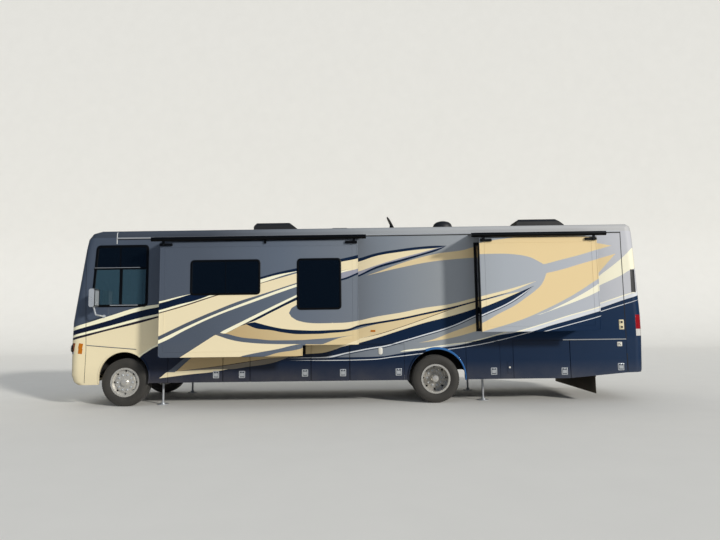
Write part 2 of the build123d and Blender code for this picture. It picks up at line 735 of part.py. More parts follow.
# Jack legs
for place, x, y in jacks:
    leg = rod(jack_rod_r, (x, y, 10), (x, y, jack_tube_z + 190)) + rod(jack_pad_r, (x, y, 0), (x, y, 14))
    leg = leg + rod(2 * jack_rod_r, (x, y, 10), (x, y, 45))
    keep(f"{place}_right_jack_leg", leg)
    keep(f"{place}_left_jack_leg", far_side(leg))

# Fuel tank between the rails
tank = block(2900, 3850, -350, exhaust_y - 90, cross_low - 270, cross_low - seam)
keep("fuel_tank", chamfer(tank.edges().filter_by(Axis.X), 35))


# Slide-out rooms: a beveled fascia on a hollow room that passes through the wall
def slide_room(kind):
    face = along_y(slide_outline(kind, 0), slide_back_y, slide_face_y)
    face = chamfer(face.faces().sort_by(Axis.Y)[0].edges(), fascia_bevel)
    room = along_y(slide_outline(kind, fascia_lap), slide_back_y + slide_inside, slide_back_y)
    hollow = along_y(slide_outline(kind, fascia_lap + slide_skin), slide_back_y + slide_inside + past,
                     slide_back_y)
    return face + (room - hollow)


slide_windows = [rect(x0, x1, z0, z1, window_r) for x0, x1, z0, z1 in
                 [(-3169, -1819, 2242, 2908), (-1067, -227, 1931, 2913)]]
front_room = slide_room("front")
for shape in slide_windows:
    front_room = front_room - along_y(shape, slide_back_y + past, slide_face_y - past)
keep("front_slide_room", front_room)
keep("front_slide_windows", *[window_pane(shape, slide_face_y) for shape in slide_windows])
rear_room = slide_room("rear")
keep("rear_slide_room", rear_room)
keep("right_slide_room", far_side(rear_room))


# Rolled awnings: roller with end brackets on the room, sheet from the wall to the roller
def roller(x0, x1):
    tube = rod(roller_r, (x0 - roller_over, roller_y, roller_z), (x1 + roller_over, roller_y, roller_z))
    low = roller_z - bracket_drop
    for x in (x0 + bracket_w, x1 - 2 * bracket_w):
        tube = tube + block(x, x + bracket_w, roller_y - 8, roller_y + 8, low, roller_z)
        tube = tube + block(x, x + bracket_w, roller_y - 2, slide_face_y - seam, low, low + bracket_foot)
    return tube


def sheet(x0, x1):
    rail_z = roof_seam_z - sheet_below
    top_z = roller_z + roller_r + seam
    wall_y = -half_width - seam
    face = outline([(wall_y, rail_z), (roller_y, top_z), (roller_y, top_z + sheet_thick),
                    (wall_y, rail_z + sheet_thick)])
    return along_x(face, x0 - roller_over + sheet_short, x1 + roller_over - sheet_short)


for name, x0, x1 in (("front", front_slide_x0, front_slide_x1), ("rear", rear_slide_x0, rear_slide_x1)):
    keep(f"{name}_slide_awning", roller(x0, x1))
    keep(f"{name}_awning_sheet", sheet(x0, x1))
keep("right_slide_awning", far_side(roller(rear_slide_x0, rear_slide_x1)))
keep("right_awning_sheet", far_side(sheet(rear_slide_x0, rear_slide_x1)))

# Roof equipment, each seated on the crowned roof
clear_outer = shifted(outer, z=seam)
under_roof_z = roof_side_z - 30
shroud_half = 370
shroud_top = roof_crown_z + 237
lid_top = roof_crown_z + 85


def shroud(x0, x1):
    side = outline([(x0, under_roof_z), (x1, under_roof_z), (x1, shroud_top - 142), (x1 - 180, shroud_top),
                    (x0 + 60, shroud_top), (x0, shroud_top - 92)])
    body = along_y(side, shroud_half, -shroud_half)
    return chamfer(body.edges().filter_by(Axis.X).group_by(Axis.Z)[-1], 60) - clear_outer


keep("roof_air_conditioners", shroud(-2256, -1271), shroud(3706, 4776))
dish_x = 860
dish_r = 195
dish_lean = 62
dish_z = roof_crown_z + 225
dome_x = 2080
dome_r = 170
dish = rod(40, (dish_x, 0, under_roof_z), (dish_x, 0, dish_z - 130)) - clear_outer
dish = dish + rod(26, (dish_x, 0, dish_z - 150), (dish_x + 20, 0, dish_z))
dish = dish + Cylinder(dish_r, 14).moved(Location((dish_x + 20, 0, dish_z), (0, dish_lean, 0)))
dome = rod(dome_r, (dome_x, 0, under_roof_z), (dome_x, 0, lid_top)) - clear_outer
dome = chamfer(dome.edges().group_by(Axis.Z)[-1], 50)
vent_half = 190
vents = []
for x, y in ((-3300, 300), (-300, -250), (3000, 250)):
    lid = block(x - vent_half, x + vent_half, y - vent_half, y + vent_half, under_roof_z, lid_top)
    vents.append(chamfer((lid - clear_outer).edges().group_by(Axis.Z)[-1], 30))
keep("roof_fittings", dish, dome, *vents)

# Patio awning case on the far wall, on two brackets
case_r = 68
case_y = half_width + case_r + 2
case_z = 3380
case_x0 = -3000
case_x1 = 2050
foot_w = 40
case = rod(case_r, (case_x0, case_y, case_z), (case_x1, case_y, case_z))
for x in (case_x0, case_x1 - foot_w):
    case = case + block(x, x + foot_w, half_width + seam, case_y, case_z - 90, case_z + 60)
keep("patio_awning", case)

# Mirrors on bent arms
mirror_x = nose_x + 755
mirror_z0 = 2035
mirror_z1 = 2401
mirror_out = 400
mirror_w = 210
arm_r = 16
head_y = -half_width - mirror_out
head = block(mirror_x - 55, mirror_x + 55, head_y, head_y + mirror_w, mirror_z0, mirror_z1)
head = chamfer(head.edges().filter_by(Axis.Y), 25)
elbow = (mirror_x + 35, head_y + 130, mirror_z0 - 155)
foot = (mirror_x + 75, -half_width - 5, mirror_z0 - 185)
arm = rod(arm_r, (mirror_x, head_y + mirror_w / 2, mirror_z0 + 5), elbow) + rod(arm_r, elbow, foot)
arm = arm + rod(35, (foot[0], -half_width - seam, foot[2]), (foot[0], -half_width - 14, foot[2]))
keep("mirrors", *both_sides(head + arm))

# Mud flap across the tail, hung from the rails
flap_x = 4954
flap_half = half_width - 110
flap_bar_z = 480
flap_bar_top = flap_bar_z + 40
flap = block(flap_x - 4, flap_x + 4, -flap_half, flap_half, 150, flap_bar_z)
flap = flap + block(flap_x - 14, flap_x + 14, -flap_half, flap_half, flap_bar_z, flap_bar_top)
strut = block(flap_x - 14, flap_x + 14, rail_y - 60, rail_y, flap_bar_top + seam, rail_low - seam)
keep("mud_flap", flap, *both_sides(strut))

# Cab seats on their pedestals over the wheel wells
seat_y = half_width - 460
seat_z = well_top + well_skin
seat_x = front_axle_x + 105
seat = block(seat_x - 185, seat_x + 195, seat_y - 150, seat_y + 150, seat_z + seam, seat_z + 220)
seat = seat + block(seat_x - 285, seat_x + 285, seat_y - 260, seat_y + 260, seat_z + 210, seat_z + 340)
back = outline([(seat_x + 175, seat_z + 320), (seat_x + 315, seat_z + 320), (seat_x + 425, seat_z + 1070),
                (seat_x + 325, seat_z + 1070)])
keep("cab_seats", *both_sides(seat + along_y(back, seat_y + 250, seat_y - 250)))

# Dashboard with its steering column and wheel
dash_half = half_width - 110
dash = block(nose_x + 50, nose_x + 690, -dash_half, dash_half, 1420, 1900) & shifted(inner, x=0.5)
dash = dash - block(nose_x + 190, nose_x + 790, -dash_half + 80, dash_half - 80, 1300, 1560)
dash = dash + block(nose_x + 490, nose_x + 690, -hump_y, hump_y, engine_hump_top + seam, 1600)
steer_r = 215
grip = 15
wheel_place = Plane(origin=(nose_x + 910, -seat_y, 1720), z_dir=(0.75, 0, 0.66))
ring = revolve(outline([(steer_r - grip, 0), (steer_r, grip), (steer_r + grip, 0), (steer_r, -grip)]),
               axis=Axis.Y)
steering = wheel_place * (Rot(90, 0, 0) * ring) + extrude(wheel_place * Circle(50), amount=-40)
for turn in (90, 210, 330):
    steering = steering + wheel_place * (Rot(0, 0, turn) * (Pos(steer_r / 2, 0, -8) * Box(steer_r, 36, 12)))
keep("dashboard", dash + steering + extrude(wheel_place * Circle(32), amount=-330))

for name, shape in pieces.items():
    export_step(shape, f"parts/{name}.step")
print(len(pieces), "pieces")
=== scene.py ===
import math
import bmesh
import bpy
from mathutils import Matrix, Vector
from mathutils.bvhtree import BVHTree


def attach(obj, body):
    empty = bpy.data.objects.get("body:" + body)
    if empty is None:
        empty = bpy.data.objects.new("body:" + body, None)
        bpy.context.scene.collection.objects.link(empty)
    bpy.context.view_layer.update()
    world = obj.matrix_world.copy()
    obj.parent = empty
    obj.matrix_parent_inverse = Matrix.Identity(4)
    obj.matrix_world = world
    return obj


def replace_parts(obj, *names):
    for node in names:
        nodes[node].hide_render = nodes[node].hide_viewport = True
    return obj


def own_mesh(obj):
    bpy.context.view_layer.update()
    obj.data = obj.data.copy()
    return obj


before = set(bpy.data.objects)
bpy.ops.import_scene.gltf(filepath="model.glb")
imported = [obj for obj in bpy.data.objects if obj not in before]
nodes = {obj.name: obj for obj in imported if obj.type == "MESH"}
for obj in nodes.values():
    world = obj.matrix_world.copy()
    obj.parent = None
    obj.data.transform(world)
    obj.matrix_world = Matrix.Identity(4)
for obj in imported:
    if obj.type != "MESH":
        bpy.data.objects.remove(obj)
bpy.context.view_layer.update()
print("frame loaded:", len(nodes), "CAD nodes")

# Metres. X runs to the tail, the driver's side faces -Y (side -1), the ground is Z 0.
driver, kerb = -1, 1
sides = dict(left=driver, right=kerb)
body = dict(wallY=1.290, slideY=1.890, seamZ=3.480)

# camera: the photograph's viewpoint
camera = dict(place=(0.246, -12.433, 1.650), pitch=0.0977, roll=-0.0128, yaw=-0.0082,
              focalPixels=538.3, widthPixels=720, sensor=36, far=200)


def addCamera():
    c = camera
    ahead = Vector((math.sin(c["yaw"]), math.cos(c["yaw"]), 0))
    right = Vector((math.cos(c["yaw"]), -math.sin(c["yaw"]), 0))
    above = Vector((0, 0, 1))
    view = ahead * math.cos(c["pitch"]) + above * math.sin(c["pitch"])
    lift = above * math.cos(c["pitch"]) - ahead * math.sin(c["pitch"])
    xAxis = right * math.cos(c["roll"]) + lift * math.sin(c["roll"])
    yAxis = lift * math.cos(c["roll"]) - right * math.sin(c["roll"])
    data = bpy.data.cameras.new("camera")
    data.sensor_width = c["sensor"]
    data.lens = c["sensor"] * c["focalPixels"] / c["widthPixels"]
    data.clip_end = c["far"]
    cam = bpy.data.objects.new("camera", data)
    cam.matrix_world = Matrix((xAxis, yAxis, -view)).transposed().to_4x4()
    cam.location = c["place"]
    bpy.context.scene.collection.objects.link(cam)
    bpy.context.scene.camera = cam


addCamera()


# material helpers
def toLinear(hexCode):
    channels = [int(hexCode[i:i + 2], 16) / 255 for i in (0, 2, 4)]
    return (*[c / 12.92 if c <= 0.04045 else ((c + 0.055) / 1.055) ** 2.4 for c in channels], 1.0)


# an input is a constant, a socket, or a node that stands for its first open output
def addNode(tree, kind, settings=None, inputs=None):
    node = tree.nodes.new(kind)
    for key, value in (settings or {}).items():
        setattr(node, key, value)
    for key, value in (inputs or {}).items():
        if isinstance(value, bpy.types.Node):
            value = next(output for output in value.outputs if output.enabled)
        if isinstance(value, bpy.types.NodeSocket):
            tree.links.new(value, node.inputs[key])
        else:
            node.inputs[key].default_value = value
    return node


def newMaterial(name):
    material = bpy.data.materials.new(name)
    material.use_nodes = True
    tree = material.node_tree
    tree.nodes.clear()
    return material, tree, addNode(tree, "ShaderNodeTexCoord").outputs["Object"]


def shade(tree, inputs):
    shader = addNode(tree, "ShaderNodeBsdfPrincipled", inputs=inputs)
    addNode(tree, "ShaderNodeOutputMaterial", inputs={"Surface": shader})


# Body paint: basecoat under clearcoat, so the colour is deep and the gloss is sharp.
# The fade and the stripes follow X and Z in metres; each band lies between a top and a bottom edge.
paint = dict(
    reach=6.1, tall=4.0, roughness=0.42, specular=0.2, coat=0.8, coatRoughness=0.04, sharpBend=16, roofEdge=0.012,
    dust=dict(colour="8C8272", top=0.85, foot=0.42, most=0.34), patches=dict(Scale=2.5, Detail=6.0, Roughness=0.65),
    # flank: black on the rooms' sides, partly painted shade
    lining=dict(colour="4A4C50", y=1.237, below=0.02, x=5.45), flank=dict(colour="15171A", y=(1.330, 1.867)),
    membrane=dict(z=3.640, clean="C9C7BF", stained="A9A79E", roughness=0.8, coat=0.0),
    waves=dict(Scale=6.7, Detail=1.0), bump=dict(Strength=0.15, Distance=0.002),
    ramps=dict(
        base=[(-6, "465060"), (-3, "515966"), (-1.4, "5F6978"), (0.05, "737A84"), (0.7, "7D858F"),
              (1.9, "969BA0"), (3, "AAB0B8"), (4.8, "BABEC6"), (6, "CACACF")],
        # edge: the roof edge's fade, lighter than the wall's from mid to rear, partly a painted highlight on the
        # curved edge
        edge=[(-6, "3A424E"), (-3, "4A505A"), (-1.4, "747A82"), (0.7, "9CA0A4"), (3, "B6B8BA"), (6, "C4C4C4")],
        navy=[(-6, "12162C"), (-4.2, "071934"), (2, "04203E"), (6, "04284A")],
        tan=[(-2.3, "BFA67A"), (-0.3, "DDC89B"), (1, "E0CBA0"), (3.5, "EBD2A0")],
        cream=[(-6, "EADDB9"), (0, "EEDFBB"), (6, "F2E2B4")],
        white=[(-6, "F6F1D2"), (6, "FAF5DC")], pale=[(-6, "D2D7DC"), (6, "DCDFE4")],
        lilac=[(-6, "9696A5"), (6, "A0A2B0")],
        brown=[(-6, "2C2630"), (-3.9, "2C2630"), (-3.6, "5A4A3C"), (6, "5A4A3C")],
        earth=[(-6, "7C7468"), (6, "8A8172")], black=[(-6, "15181E"), (6, "15181E")]))

lowerTop = [(-4.62, 0.40), (-4.41, 0.988), (-4.27, 1.108), (-4.19, 1.169), (-4.03, 1.269), (-3.86, 1.34),
            (-3.80, 1.02), (-0.98, 1.02), (-0.61, 0.962), (0.03, 0.950), (0.61, 0.963), (0.81, 0.991),
            (1.03, 1.027), (1.32, 1.070), (1.76, 1.12), (2.27, 1.19), (2.8, 1.33), (3.48, 1.441), (3.87, 1.556),
            (4.24, 1.654), (4.69, 1.782), (5.11, 1.898), (5.57, 2.048), (6.1, 2.2)]
creamTop = [(-6.1, 1.30), (-5.72, 1.388), (-5.06, 1.556), (-4.43, 1.700), (-3.79, 1.878), (-3.37, 1.991),
            (-2.54, 2.249), (-1.81, 2.440), (-1.19, 2.609), (-0.23, 2.848), (0.10, 2.909), (0.53, 3.039),
            (1.01, 3.112), (1.78, 3.183)]
whiteGLow = [(-4.47, 0.965), (-4.27, 1.095), (-4.07, 1.21), (-3.80, 1.289), (-3.21, 1.578), (-2.69, 1.811),
             (-1.87, 2.105), (-1.08, 2.373), (-0.23, 2.626), (-0.03, 2.69)]
whiteGTop = [(-4.47, 0.995), (-4.27, 1.13), (-4.07, 1.25), (-3.80, 1.355), (-3.21, 1.631), (-2.69, 1.854),
             (-1.87, 2.158), (-1.08, 2.425), (-0.22, 2.664), (-0.03, 2.69)]
whiteALow = [(-6.1, 1.485), (-5.73, 1.582), (-5.07, 1.759), (-4.44, 1.945), (-3.79, 2.079), (-3.37, 2.193),
             (-3.15, 2.257)]
navyBLow = [(-6.1, 1.39), (-5.73, 1.484), (-5.07, 1.644), (-4.44, 1.803), (-3.79, 1.944), (-3.37, 2.058),
            (-3.07, 2.129), (-2.69, 2.263), (-1.82, 2.519), (-1.46, 2.613), (-1.08, 2.679), (-0.23, 2.848),
            (0.10, 2.909), (0.53, 3.039), (1.01, 3.112), (1.41, 3.164), (1.78, 3.188), (1.97, 3.225)]
brownTop = [(-6.1, 1.34), (-5.73, 1.435), (-5.06, 1.595), (-4.43, 1.751), (-3.79, 1.901), (-3.37, 2.017),
            (-2.77, 2.201), (-1.81, 2.452)]
lilacTop = [(-0.6, 2.45), (-0.23, 2.626), (0.10, 2.705), (0.53, 2.846), (1.01, 2.984), (1.41, 3.084), (1.97, 3.225)]
lilacLow = [(-0.6, 2.45), (-0.22, 2.513), (0.10, 2.630), (0.53, 2.823), (1.01, 2.953), (1.41, 3.059),
            (1.78, 3.167), (1.97, 3.225)]
creamFoot = [(-3.38, 1.012), (-2.3, 1.00), (-2.15, 1.038), (-1.90, 1.088), (-1.45, 1.164), (-1.10, 1.240),
             (-1.08, 1.252)]
swooshTop = [(-2.2, 1.62), (-2.09, 1.661), (-1.91, 1.688), (-1.60, 1.602), (-1.31, 1.546), (-1.01, 1.521),
             (-0.71, 1.510), (-0.41, 1.517), (-0.11, 1.531), (0.13, 1.607), (0.51, 1.666), (0.98, 1.738),
             (1.46, 1.834), (2.00, 1.944), (2.53, 2.071), (3.01, 2.191), (3.1, 2.21)]
swooshLow = [(-2.2, 1.62), (-2.09, 1.655), (-1.86, 1.561), (-1.60, 1.529), (-1.31, 1.473), (-1.01, 1.444),
             (-0.71, 1.444), (-0.41, 1.461), (-0.11, 1.487), (0.13, 1.566), (0.51, 1.623), (0.98, 1.697),
             (1.46, 1.795), (2.00, 1.905), (2.53, 2.043), (3.1, 2.21)]
tailLow = [(-1.4, 0.95), (-0.61, 0.962), (-0.09, 1.057), (0.44, 1.150), (0.61, 1.172), (1.04, 1.283),
           (1.45, 1.396), (1.99, 1.553), (2.53, 1.780), (3.00, 1.982), (3.30, 2.158), (3.56, 2.327)]
creamTail = [(-0.40, 1.12), (-0.26, 1.157), (0.13, 1.241), (0.51, 1.345), (0.98, 1.488), (1.46, 1.629),
             (1.99, 1.757), (2.53, 1.915), (3.00, 2.094), (3.3, 2.22)]
brownTail = [(0.13, 1.327), (0.51, 1.416), (0.98, 1.557), (1.46, 1.717), (1.90, 1.868), (2.2, 1.955)]
backLine = [(-1.33, 0.902), (-0.39, 0.891), (0.44, 0.903), (0.81, 0.945), (1.38, 1.007), (1.83, 1.072),
            (2.27, 1.128), (2.76, 1.209), (3.73, 1.438), (4.23, 1.565), (4.84, 1.727), (5.10, 1.818),
            (5.58, 1.961), (6.1, 2.11)]
whiteBackTop = [(0.95, 1.05), (1.03, 1.075), (1.44, 1.121), (1.76, 1.164), (2.07, 1.205), (2.27, 1.225),
                (3.21, 1.452), (3.72, 1.597), (4.24, 1.754), (4.70, 1.875), (5.11, 2.002), (5.58, 2.151), (6.1, 2.30)]


def lowered(edge, drop):
    return [(x, z - (drop if 0 < i < len(edge) - 1 else 0)) for i, (x, z) in enumerate(edge)]


bands = [
    ("cream", creamTop, [(-6.1, 0), (-4.75, 0)] + lowerTop[:5] + [(-3.80, 1.289)] + whiteGLow[4:9] + lilacTop[2:6]
     + [(1.78, 3.183)]),
    ("navy", lowerTop, [(-4.62, 0), (6.1, 0)]),
    ("white", whiteGTop, whiteGLow),
    ("base", [(-3.80, 1.430), (-3.21, 1.705), (-2.69, 1.922), (-2.17, 2.117), (-1.87, 2.203), (-1.08, 2.448),
              (-0.22, 2.671), (-0.03, 2.714)], whiteGTop[3:-1] + [(-0.03, 2.714)]),
    ("white", [(-6.1, 1.54), (-5.73, 1.652), (-5.07, 1.849), (-4.44, 2.027), (-3.79, 2.117), (-3.37, 2.215),
               (-3.15, 2.257)], whiteALow),
    ("navy", whiteALow + [(-1.82, 2.565), (-1.46, 2.659), (-1.08, 2.737), (-0.26, 2.900), (0.10, 2.978),
                          (0.53, 3.096), (1.01, 3.169), (1.41, 3.212), (1.81, 3.230), (1.97, 3.225)], navyBLow),
    ("white", navyBLow[:12], brownTop + [(-1.19, 2.64), (-0.23, 2.848)]),
    ("brown", brownTop + [(-1.19, 2.609)], creamTop[:9]),
    ("lilac", lilacTop, lilacLow),
    ("navy", lilacLow, [(-0.6, 2.45), (-0.22, 2.478), (0.10, 2.592), (0.53, 2.775), (1.01, 2.905), (1.41, 3.019),
                        (1.78, 3.127), (1.97, 3.225)]),
    ("tan", [(0.29, 2.626), (0.53, 2.702), (1.01, 2.871), (1.41, 2.987), (1.81, 3.070), (2.30, 3.13), (2.53, 3.191),
             (2.90, 3.252), (3.35, 3.297), (3.80, 3.314), (5.07, 3.240), (5.39, 3.180)],
     [(0.29, 2.626), (0.53, 2.679), (1.01, 2.783), (1.64, 2.896), (1.99, 2.931), (2.53, 2.966), (2.89, 2.969),
      (3.23, 2.948), (3.48, 2.899), (3.63, 2.830), (3.77, 2.745), (4.08, 2.824), (4.49, 2.925), (5.02, 3.081),
      (5.39, 3.180)]),
    ("tan", [(-3.70, 0.66), (-3.66, 0.689), (-3.41, 0.911), (-3.38, 1.012), (-2.68, 1.453), (-2.52, 1.475),
             (-2.16, 1.633), (-2.09, 1.661)] + swooshLow[2:9] + swooshLow[10:14] + [(2.2, 1.955)],
     [(-3.70, 0.66), (-3.64, 0.705), (-2.76, 0.802), (-1.98, 0.910), (-1.44, 0.965), (-0.9, 1.02), (-0.61, 1.05),
      (-0.35, 1.121)] + creamTail[2:6] + [(1.9, 1.75), (2.2, 1.955)]),
    ("cream", [(-3.38, 1.012), (-2.68, 1.453), (-2.31, 1.336), (-2.01, 1.290), (-1.60, 1.262), (-1.08, 1.252)],
     creamFoot),
    ("base", [(-2.68, 1.453), (-2.46, 1.472), (-2.16, 1.394), (-1.86, 1.362), (-1.60, 1.333), (-1.08, 1.329),
              (-0.71, 1.347), (-0.41, 1.365), (-0.11, 1.398), (0.05, 1.419)],
     [(-2.68, 1.453), (-2.31, 1.336), (-2.01, 1.290), (-1.60, 1.262), (-1.08, 1.252), (-0.59, 1.242), (-0.22, 1.370),
      (0.05, 1.419)]),
    ("base", [(-2.20, 1.00)] + creamFoot[2:6] + [(-0.9, 1.26)],
     [(-2.20, 1.00), (-1.76, 1.014), (-1.45, 1.091), (-1.08, 1.146), (-0.98, 1.173), (-0.9, 1.26)]),
    ("white", [(-2.58, 1.490), (-2.56, 1.512), (-1.08, 2.216), (-0.6, 2.43)],
     [(-2.58, 1.488), (-2.49, 1.472), (-1.08, 2.172), (-0.6, 2.40)]),
    ("navy", [(-2.2, 1.616), (-1.08, 2.172), (-0.6, 2.40)],
     [(-2.2, 1.616), (-2.07, 1.652), (-1.95, 1.700), (-1.61, 1.862), (-1.08, 2.112), (-0.6, 2.34)]),
    ("cream", [(-2.09, 1.661), (-1.95, 1.700), (-1.61, 1.862), (-1.08, 2.112), (-0.85, 2.2), (-0.6, 1.8),
               (-0.4, 1.651), (-0.11, 1.659), (0.51, 1.777), (0.99, 1.849), (1.46, 1.937), (1.99, 2.008),
               (2.53, 2.137), (3.01, 2.252), (3.60, 2.417)], swooshTop[1:16] + [(3.60, 2.413)]),
    ("base", [(-1.24, 1.858), (-1.20, 1.948), (-1.08, 2.020), (-0.85, 2.2), (-0.6, 2.2), (-0.4, 1.651)],
     [(-1.24, 1.858), (-1.20, 1.784), (-1.08, 1.708), (-0.86, 1.661), (-0.56, 1.649), (-0.4, 1.651)]),
    ("navy", swooshTop, swooshLow),
    ("cream", [(-0.40, 1.12)] + brownTail + [(2.53, 2.043), (2.82, 2.112), (3.07, 2.177), (3.3, 2.22)], creamTail),
    ("brown", brownTail, lowered(brownTail, 0.012)),
    ("navy", [(-1.4, 0.95), (-1.1, 1.02), (-0.9, 1.03), (-0.61, 1.05), (-0.35, 1.121)] + creamTail[1:9]
     + [(3.31, 2.224), (3.56, 2.327)], tailLow),
    ("pale", tailLow, lowered(tailLow, 0.022)),
    ("navy", lowered(tailLow, 0.030), lowered(tailLow, 0.044)),
    ("tan", [(1.35, 1.226), (1.60, 1.280), (1.98, 1.420), (2.54, 1.623), (2.84, 1.784), (3.15, 1.936), (3.37, 2.081),
             (3.54, 2.200), (3.70, 2.333), (3.78, 2.481), (3.80, 2.571), (4.07, 2.628), (4.48, 2.743), (5.46, 3.010)],
     [(1.35, 1.226), (1.60, 1.256), (1.98, 1.310), (2.55, 1.455), (3.28, 1.666), (3.74, 1.854), (4.19, 2.070),
      (4.45, 2.217), (4.72, 2.386), (5.08, 2.60), (5.46, 3.010)]),
    ("white", [(3.60, 1.765), (3.66, 1.776), (4.03, 1.926), (4.41, 2.112), (4.72, 2.288), (5.11, 2.561),
               (5.57, 2.904), (5.81, 3.125), (6.1, 3.2)],
     [(3.60, 1.765), (3.66, 1.766), (4.03, 1.895), (4.41, 2.030), (4.71, 2.153), (5.10, 2.355), (5.55, 2.555),
      (5.78, 2.678), (6.1, 2.75)]),
    ("pale", whiteBackTop, [(0.95, 1.05)] + lowerTop[13:]),
    ("white", whiteBackTop, lowered(whiteBackTop, 0.022)),
    ("pale", lowered(backLine, -0.007), lowered(backLine, 0.007)),
    ("earth", [(-3.67, 0.70), (-3.64, 0.705), (-2.76, 0.802), (-1.98, 0.910), (-1.5, 0.968), (-1.3, 0.99)],
     [(-3.67, 0.70), (-3.08, 0.729), (-2.73, 0.741), (-2.57, 0.739), (-2.13, 0.786), (-1.71, 0.844), (-1.44, 0.926),
      (-1.3, 0.99)]),
    ("black", [(-3.64, 0.705), (-2.76, 0.807), (-1.98, 0.915), (-1.5, 0.973)],
     [(-3.64, 0.705), (-2.76, 0.797), (-1.98, 0.905), (-1.5, 0.973)]),
    ("cream", [(-3.98, 0.570), (-3.83, 0.699), (-3.08, 0.729), (-2.73, 0.741), (-2.57, 0.739)],
     [(-3.98, 0.570), (-3.81, 0.590), (-3.39, 0.640), (-2.87, 0.688), (-2.57, 0.739)]),
    ("base", [(-3.84, 0.69), (-3.80, 0.713), (-3.55, 0.913), (-3.42, 1.015), (-3.2, 1.015)],
     [(-3.84, 0.69), (-3.67, 0.69), (-3.41, 0.911), (-3.29, 1.015), (-3.2, 1.015)]),
]


def addEdge(tree, along, points):
    p = paint
    curve = addNode(tree, "ShaderNodeFloatCurve", inputs={"Value": along})
    line = curve.mapping.curves[0].points
    while len(line) < len(points):
        line.new(0.5, 0.5)
    for i, (spot, (x, z)) in enumerate(zip(line, points)):
        spot.location = ((x + p["reach"]) / (2 * p["reach"]), z / p["tall"])
        bend = 0
        if 0 < i < len(points) - 1:
            (x0, z0), (x1, z1) = points[i - 1], points[i + 1]
            bend = abs(math.degrees(math.atan2(z1 - z, x1 - x) - math.atan2(z - z0, x - x0)))
        spot.handle_type = "AUTO_CLAMPED" if bend < p["sharpBend"] else "VECTOR"
    curve.mapping.extend = "HORIZONTAL"
    curve.mapping.update()
    return addNode(tree, "ShaderNodeMath", {"operation": "MULTIPLY"}, {0: curve, 1: p["tall"]})


def makeBodyPaint(name, membrane):
    p = paint
    dust, lining, flank, roof = p["dust"], p["lining"], p["flank"], p["membrane"]
    material, tree, point = newMaterial(name)
    x, y, z = addNode(tree, "ShaderNodeSeparateXYZ", inputs={0: point}).outputs
    along = addNode(tree, "ShaderNodeMapRange", inputs={"Value": x, 1: -p["reach"], 2: p["reach"]})
    depth, fromMiddle = [addNode(tree, "ShaderNodeMath", {"operation": "ABSOLUTE"}, {0: place}) for place in (y, x)]
    colours = {}
    for key, stops in p["ramps"].items():
        colours[key] = addNode(tree, "ShaderNodeValToRGB", inputs={0: along})
        elements = colours[key].color_ramp.elements
        while len(elements) < len(stops):
            elements.new(0.5)
        for element, (place, hexCode) in zip(elements, stops):
            element.position = (place + p["reach"]) / (2 * p["reach"])
            element.color = toLinear(hexCode)
    # each layer: tests that must all hold, as operation and values, and the colour laid over the ones before
    # above the roof seam the edge's fade is laid on, partly a painted highlight
    layers = [([("GREATER_THAN", z, body["seamZ"] + p["roofEdge"])], colours["edge"])]  # the roof edge's own fade
    for key, top, bottom in bands:
        first, last = max(top[0][0], bottom[0][0]), min(top[-1][0], bottom[-1][0])
        layers.append(([("LESS_THAN", z, addEdge(tree, along, top)),
                        ("GREATER_THAN", z, addEdge(tree, along, bottom)),
                        ("COMPARE", x, (first + last) / 2, (last - first) / 2)], colours[key]))
    # road dust low on the body, in patches of about 0.4 m
    patches = addNode(tree, "ShaderNodeTexNoise", inputs={"Vector": point, **p["patches"]})
    low = addNode(tree, "ShaderNodeMapRange",
                  inputs={"Value": z, 1: dust["top"], 2: dust["foot"], 3: 0.0, 4: dust["most"]})
    layers.append(([("MULTIPLY", low, patches)], toLinear(dust["colour"])))
    # cut edges and inner faces show the wall's grey lining, and the rooms' flanks are black: partly their finish,
    # partly painted shade for their unlit sides
    layers.append(([("LESS_THAN", depth, lining["y"]), ("LESS_THAN", z, body["seamZ"] - lining["below"]),
                    ("LESS_THAN", fromMiddle, lining["x"])], toLinear(lining["colour"])))
    inner, outer = flank["y"]
    layers.append(([("COMPARE", depth, (inner + outer) / 2, (outer - inner) / 2)], toLinear(flank["colour"])))
    colour = colours["base"]
    for tests, over in layers:
        inside = None
        for operation, *values in tests:
            mask = addNode(tree, "ShaderNodeMath", {"operation": operation}, dict(enumerate(values)))
            inside = mask if inside is None else addNode(tree, "ShaderNodeMath", {"operation": "MULTIPLY"},
                                                         {0: inside, 1: mask})
        colour = addNode(tree, "ShaderNodeMix", {"data_type": "RGBA"}, {0: inside, 6: colour, 7: over})
    # the fibreglass panels' slight waviness, about 150 mm long, which bends the reflections
    waves = addNode(tree, "ShaderNodeTexNoise", inputs={"Vector": point, **p["waves"]})
    given = {"Base Color": colour, "Roughness": p["roughness"], "Specular IOR Level": p["specular"],
             "Coat Weight": p["coat"], "Coat Roughness": p["coatRoughness"],
             "Normal": addNode(tree, "ShaderNodeBump", inputs={"Height": waves, **p["bump"]})}
    if membrane:  # the roof skin is a dull white sheet between its painted edges
        flat = addNode(tree, "ShaderNodeMath", {"operation": "GREATER_THAN"}, {0: z, 1: roof["z"]})
        stains = addNode(tree, "ShaderNodeMix", {"data_type": "RGBA"},
                         {0: patches, 6: toLinear(roof["clean"]), 7: toLinear(roof["stained"])})
        given["Base Color"] = addNode(tree, "ShaderNodeMix", {"data_type": "RGBA"}, {0: flat, 6: colour, 7: stains})
        for socket, bare in (("Roughness", roof["roughness"]), ("Coat Weight", roof["coat"])):
            given[socket] = addNode(tree, "ShaderNodeMapRange", inputs={"Value": flat, 3: given[socket], 4: bare})
    shade(tree, given)
    return material


finish = dict(bodyPaint=makeBodyPaint("clearcoated body paint", False),
              roofPaint=makeBodyPaint("roof membrane and painted edge", True))
print("paint mixed:", len(bands), "bands")

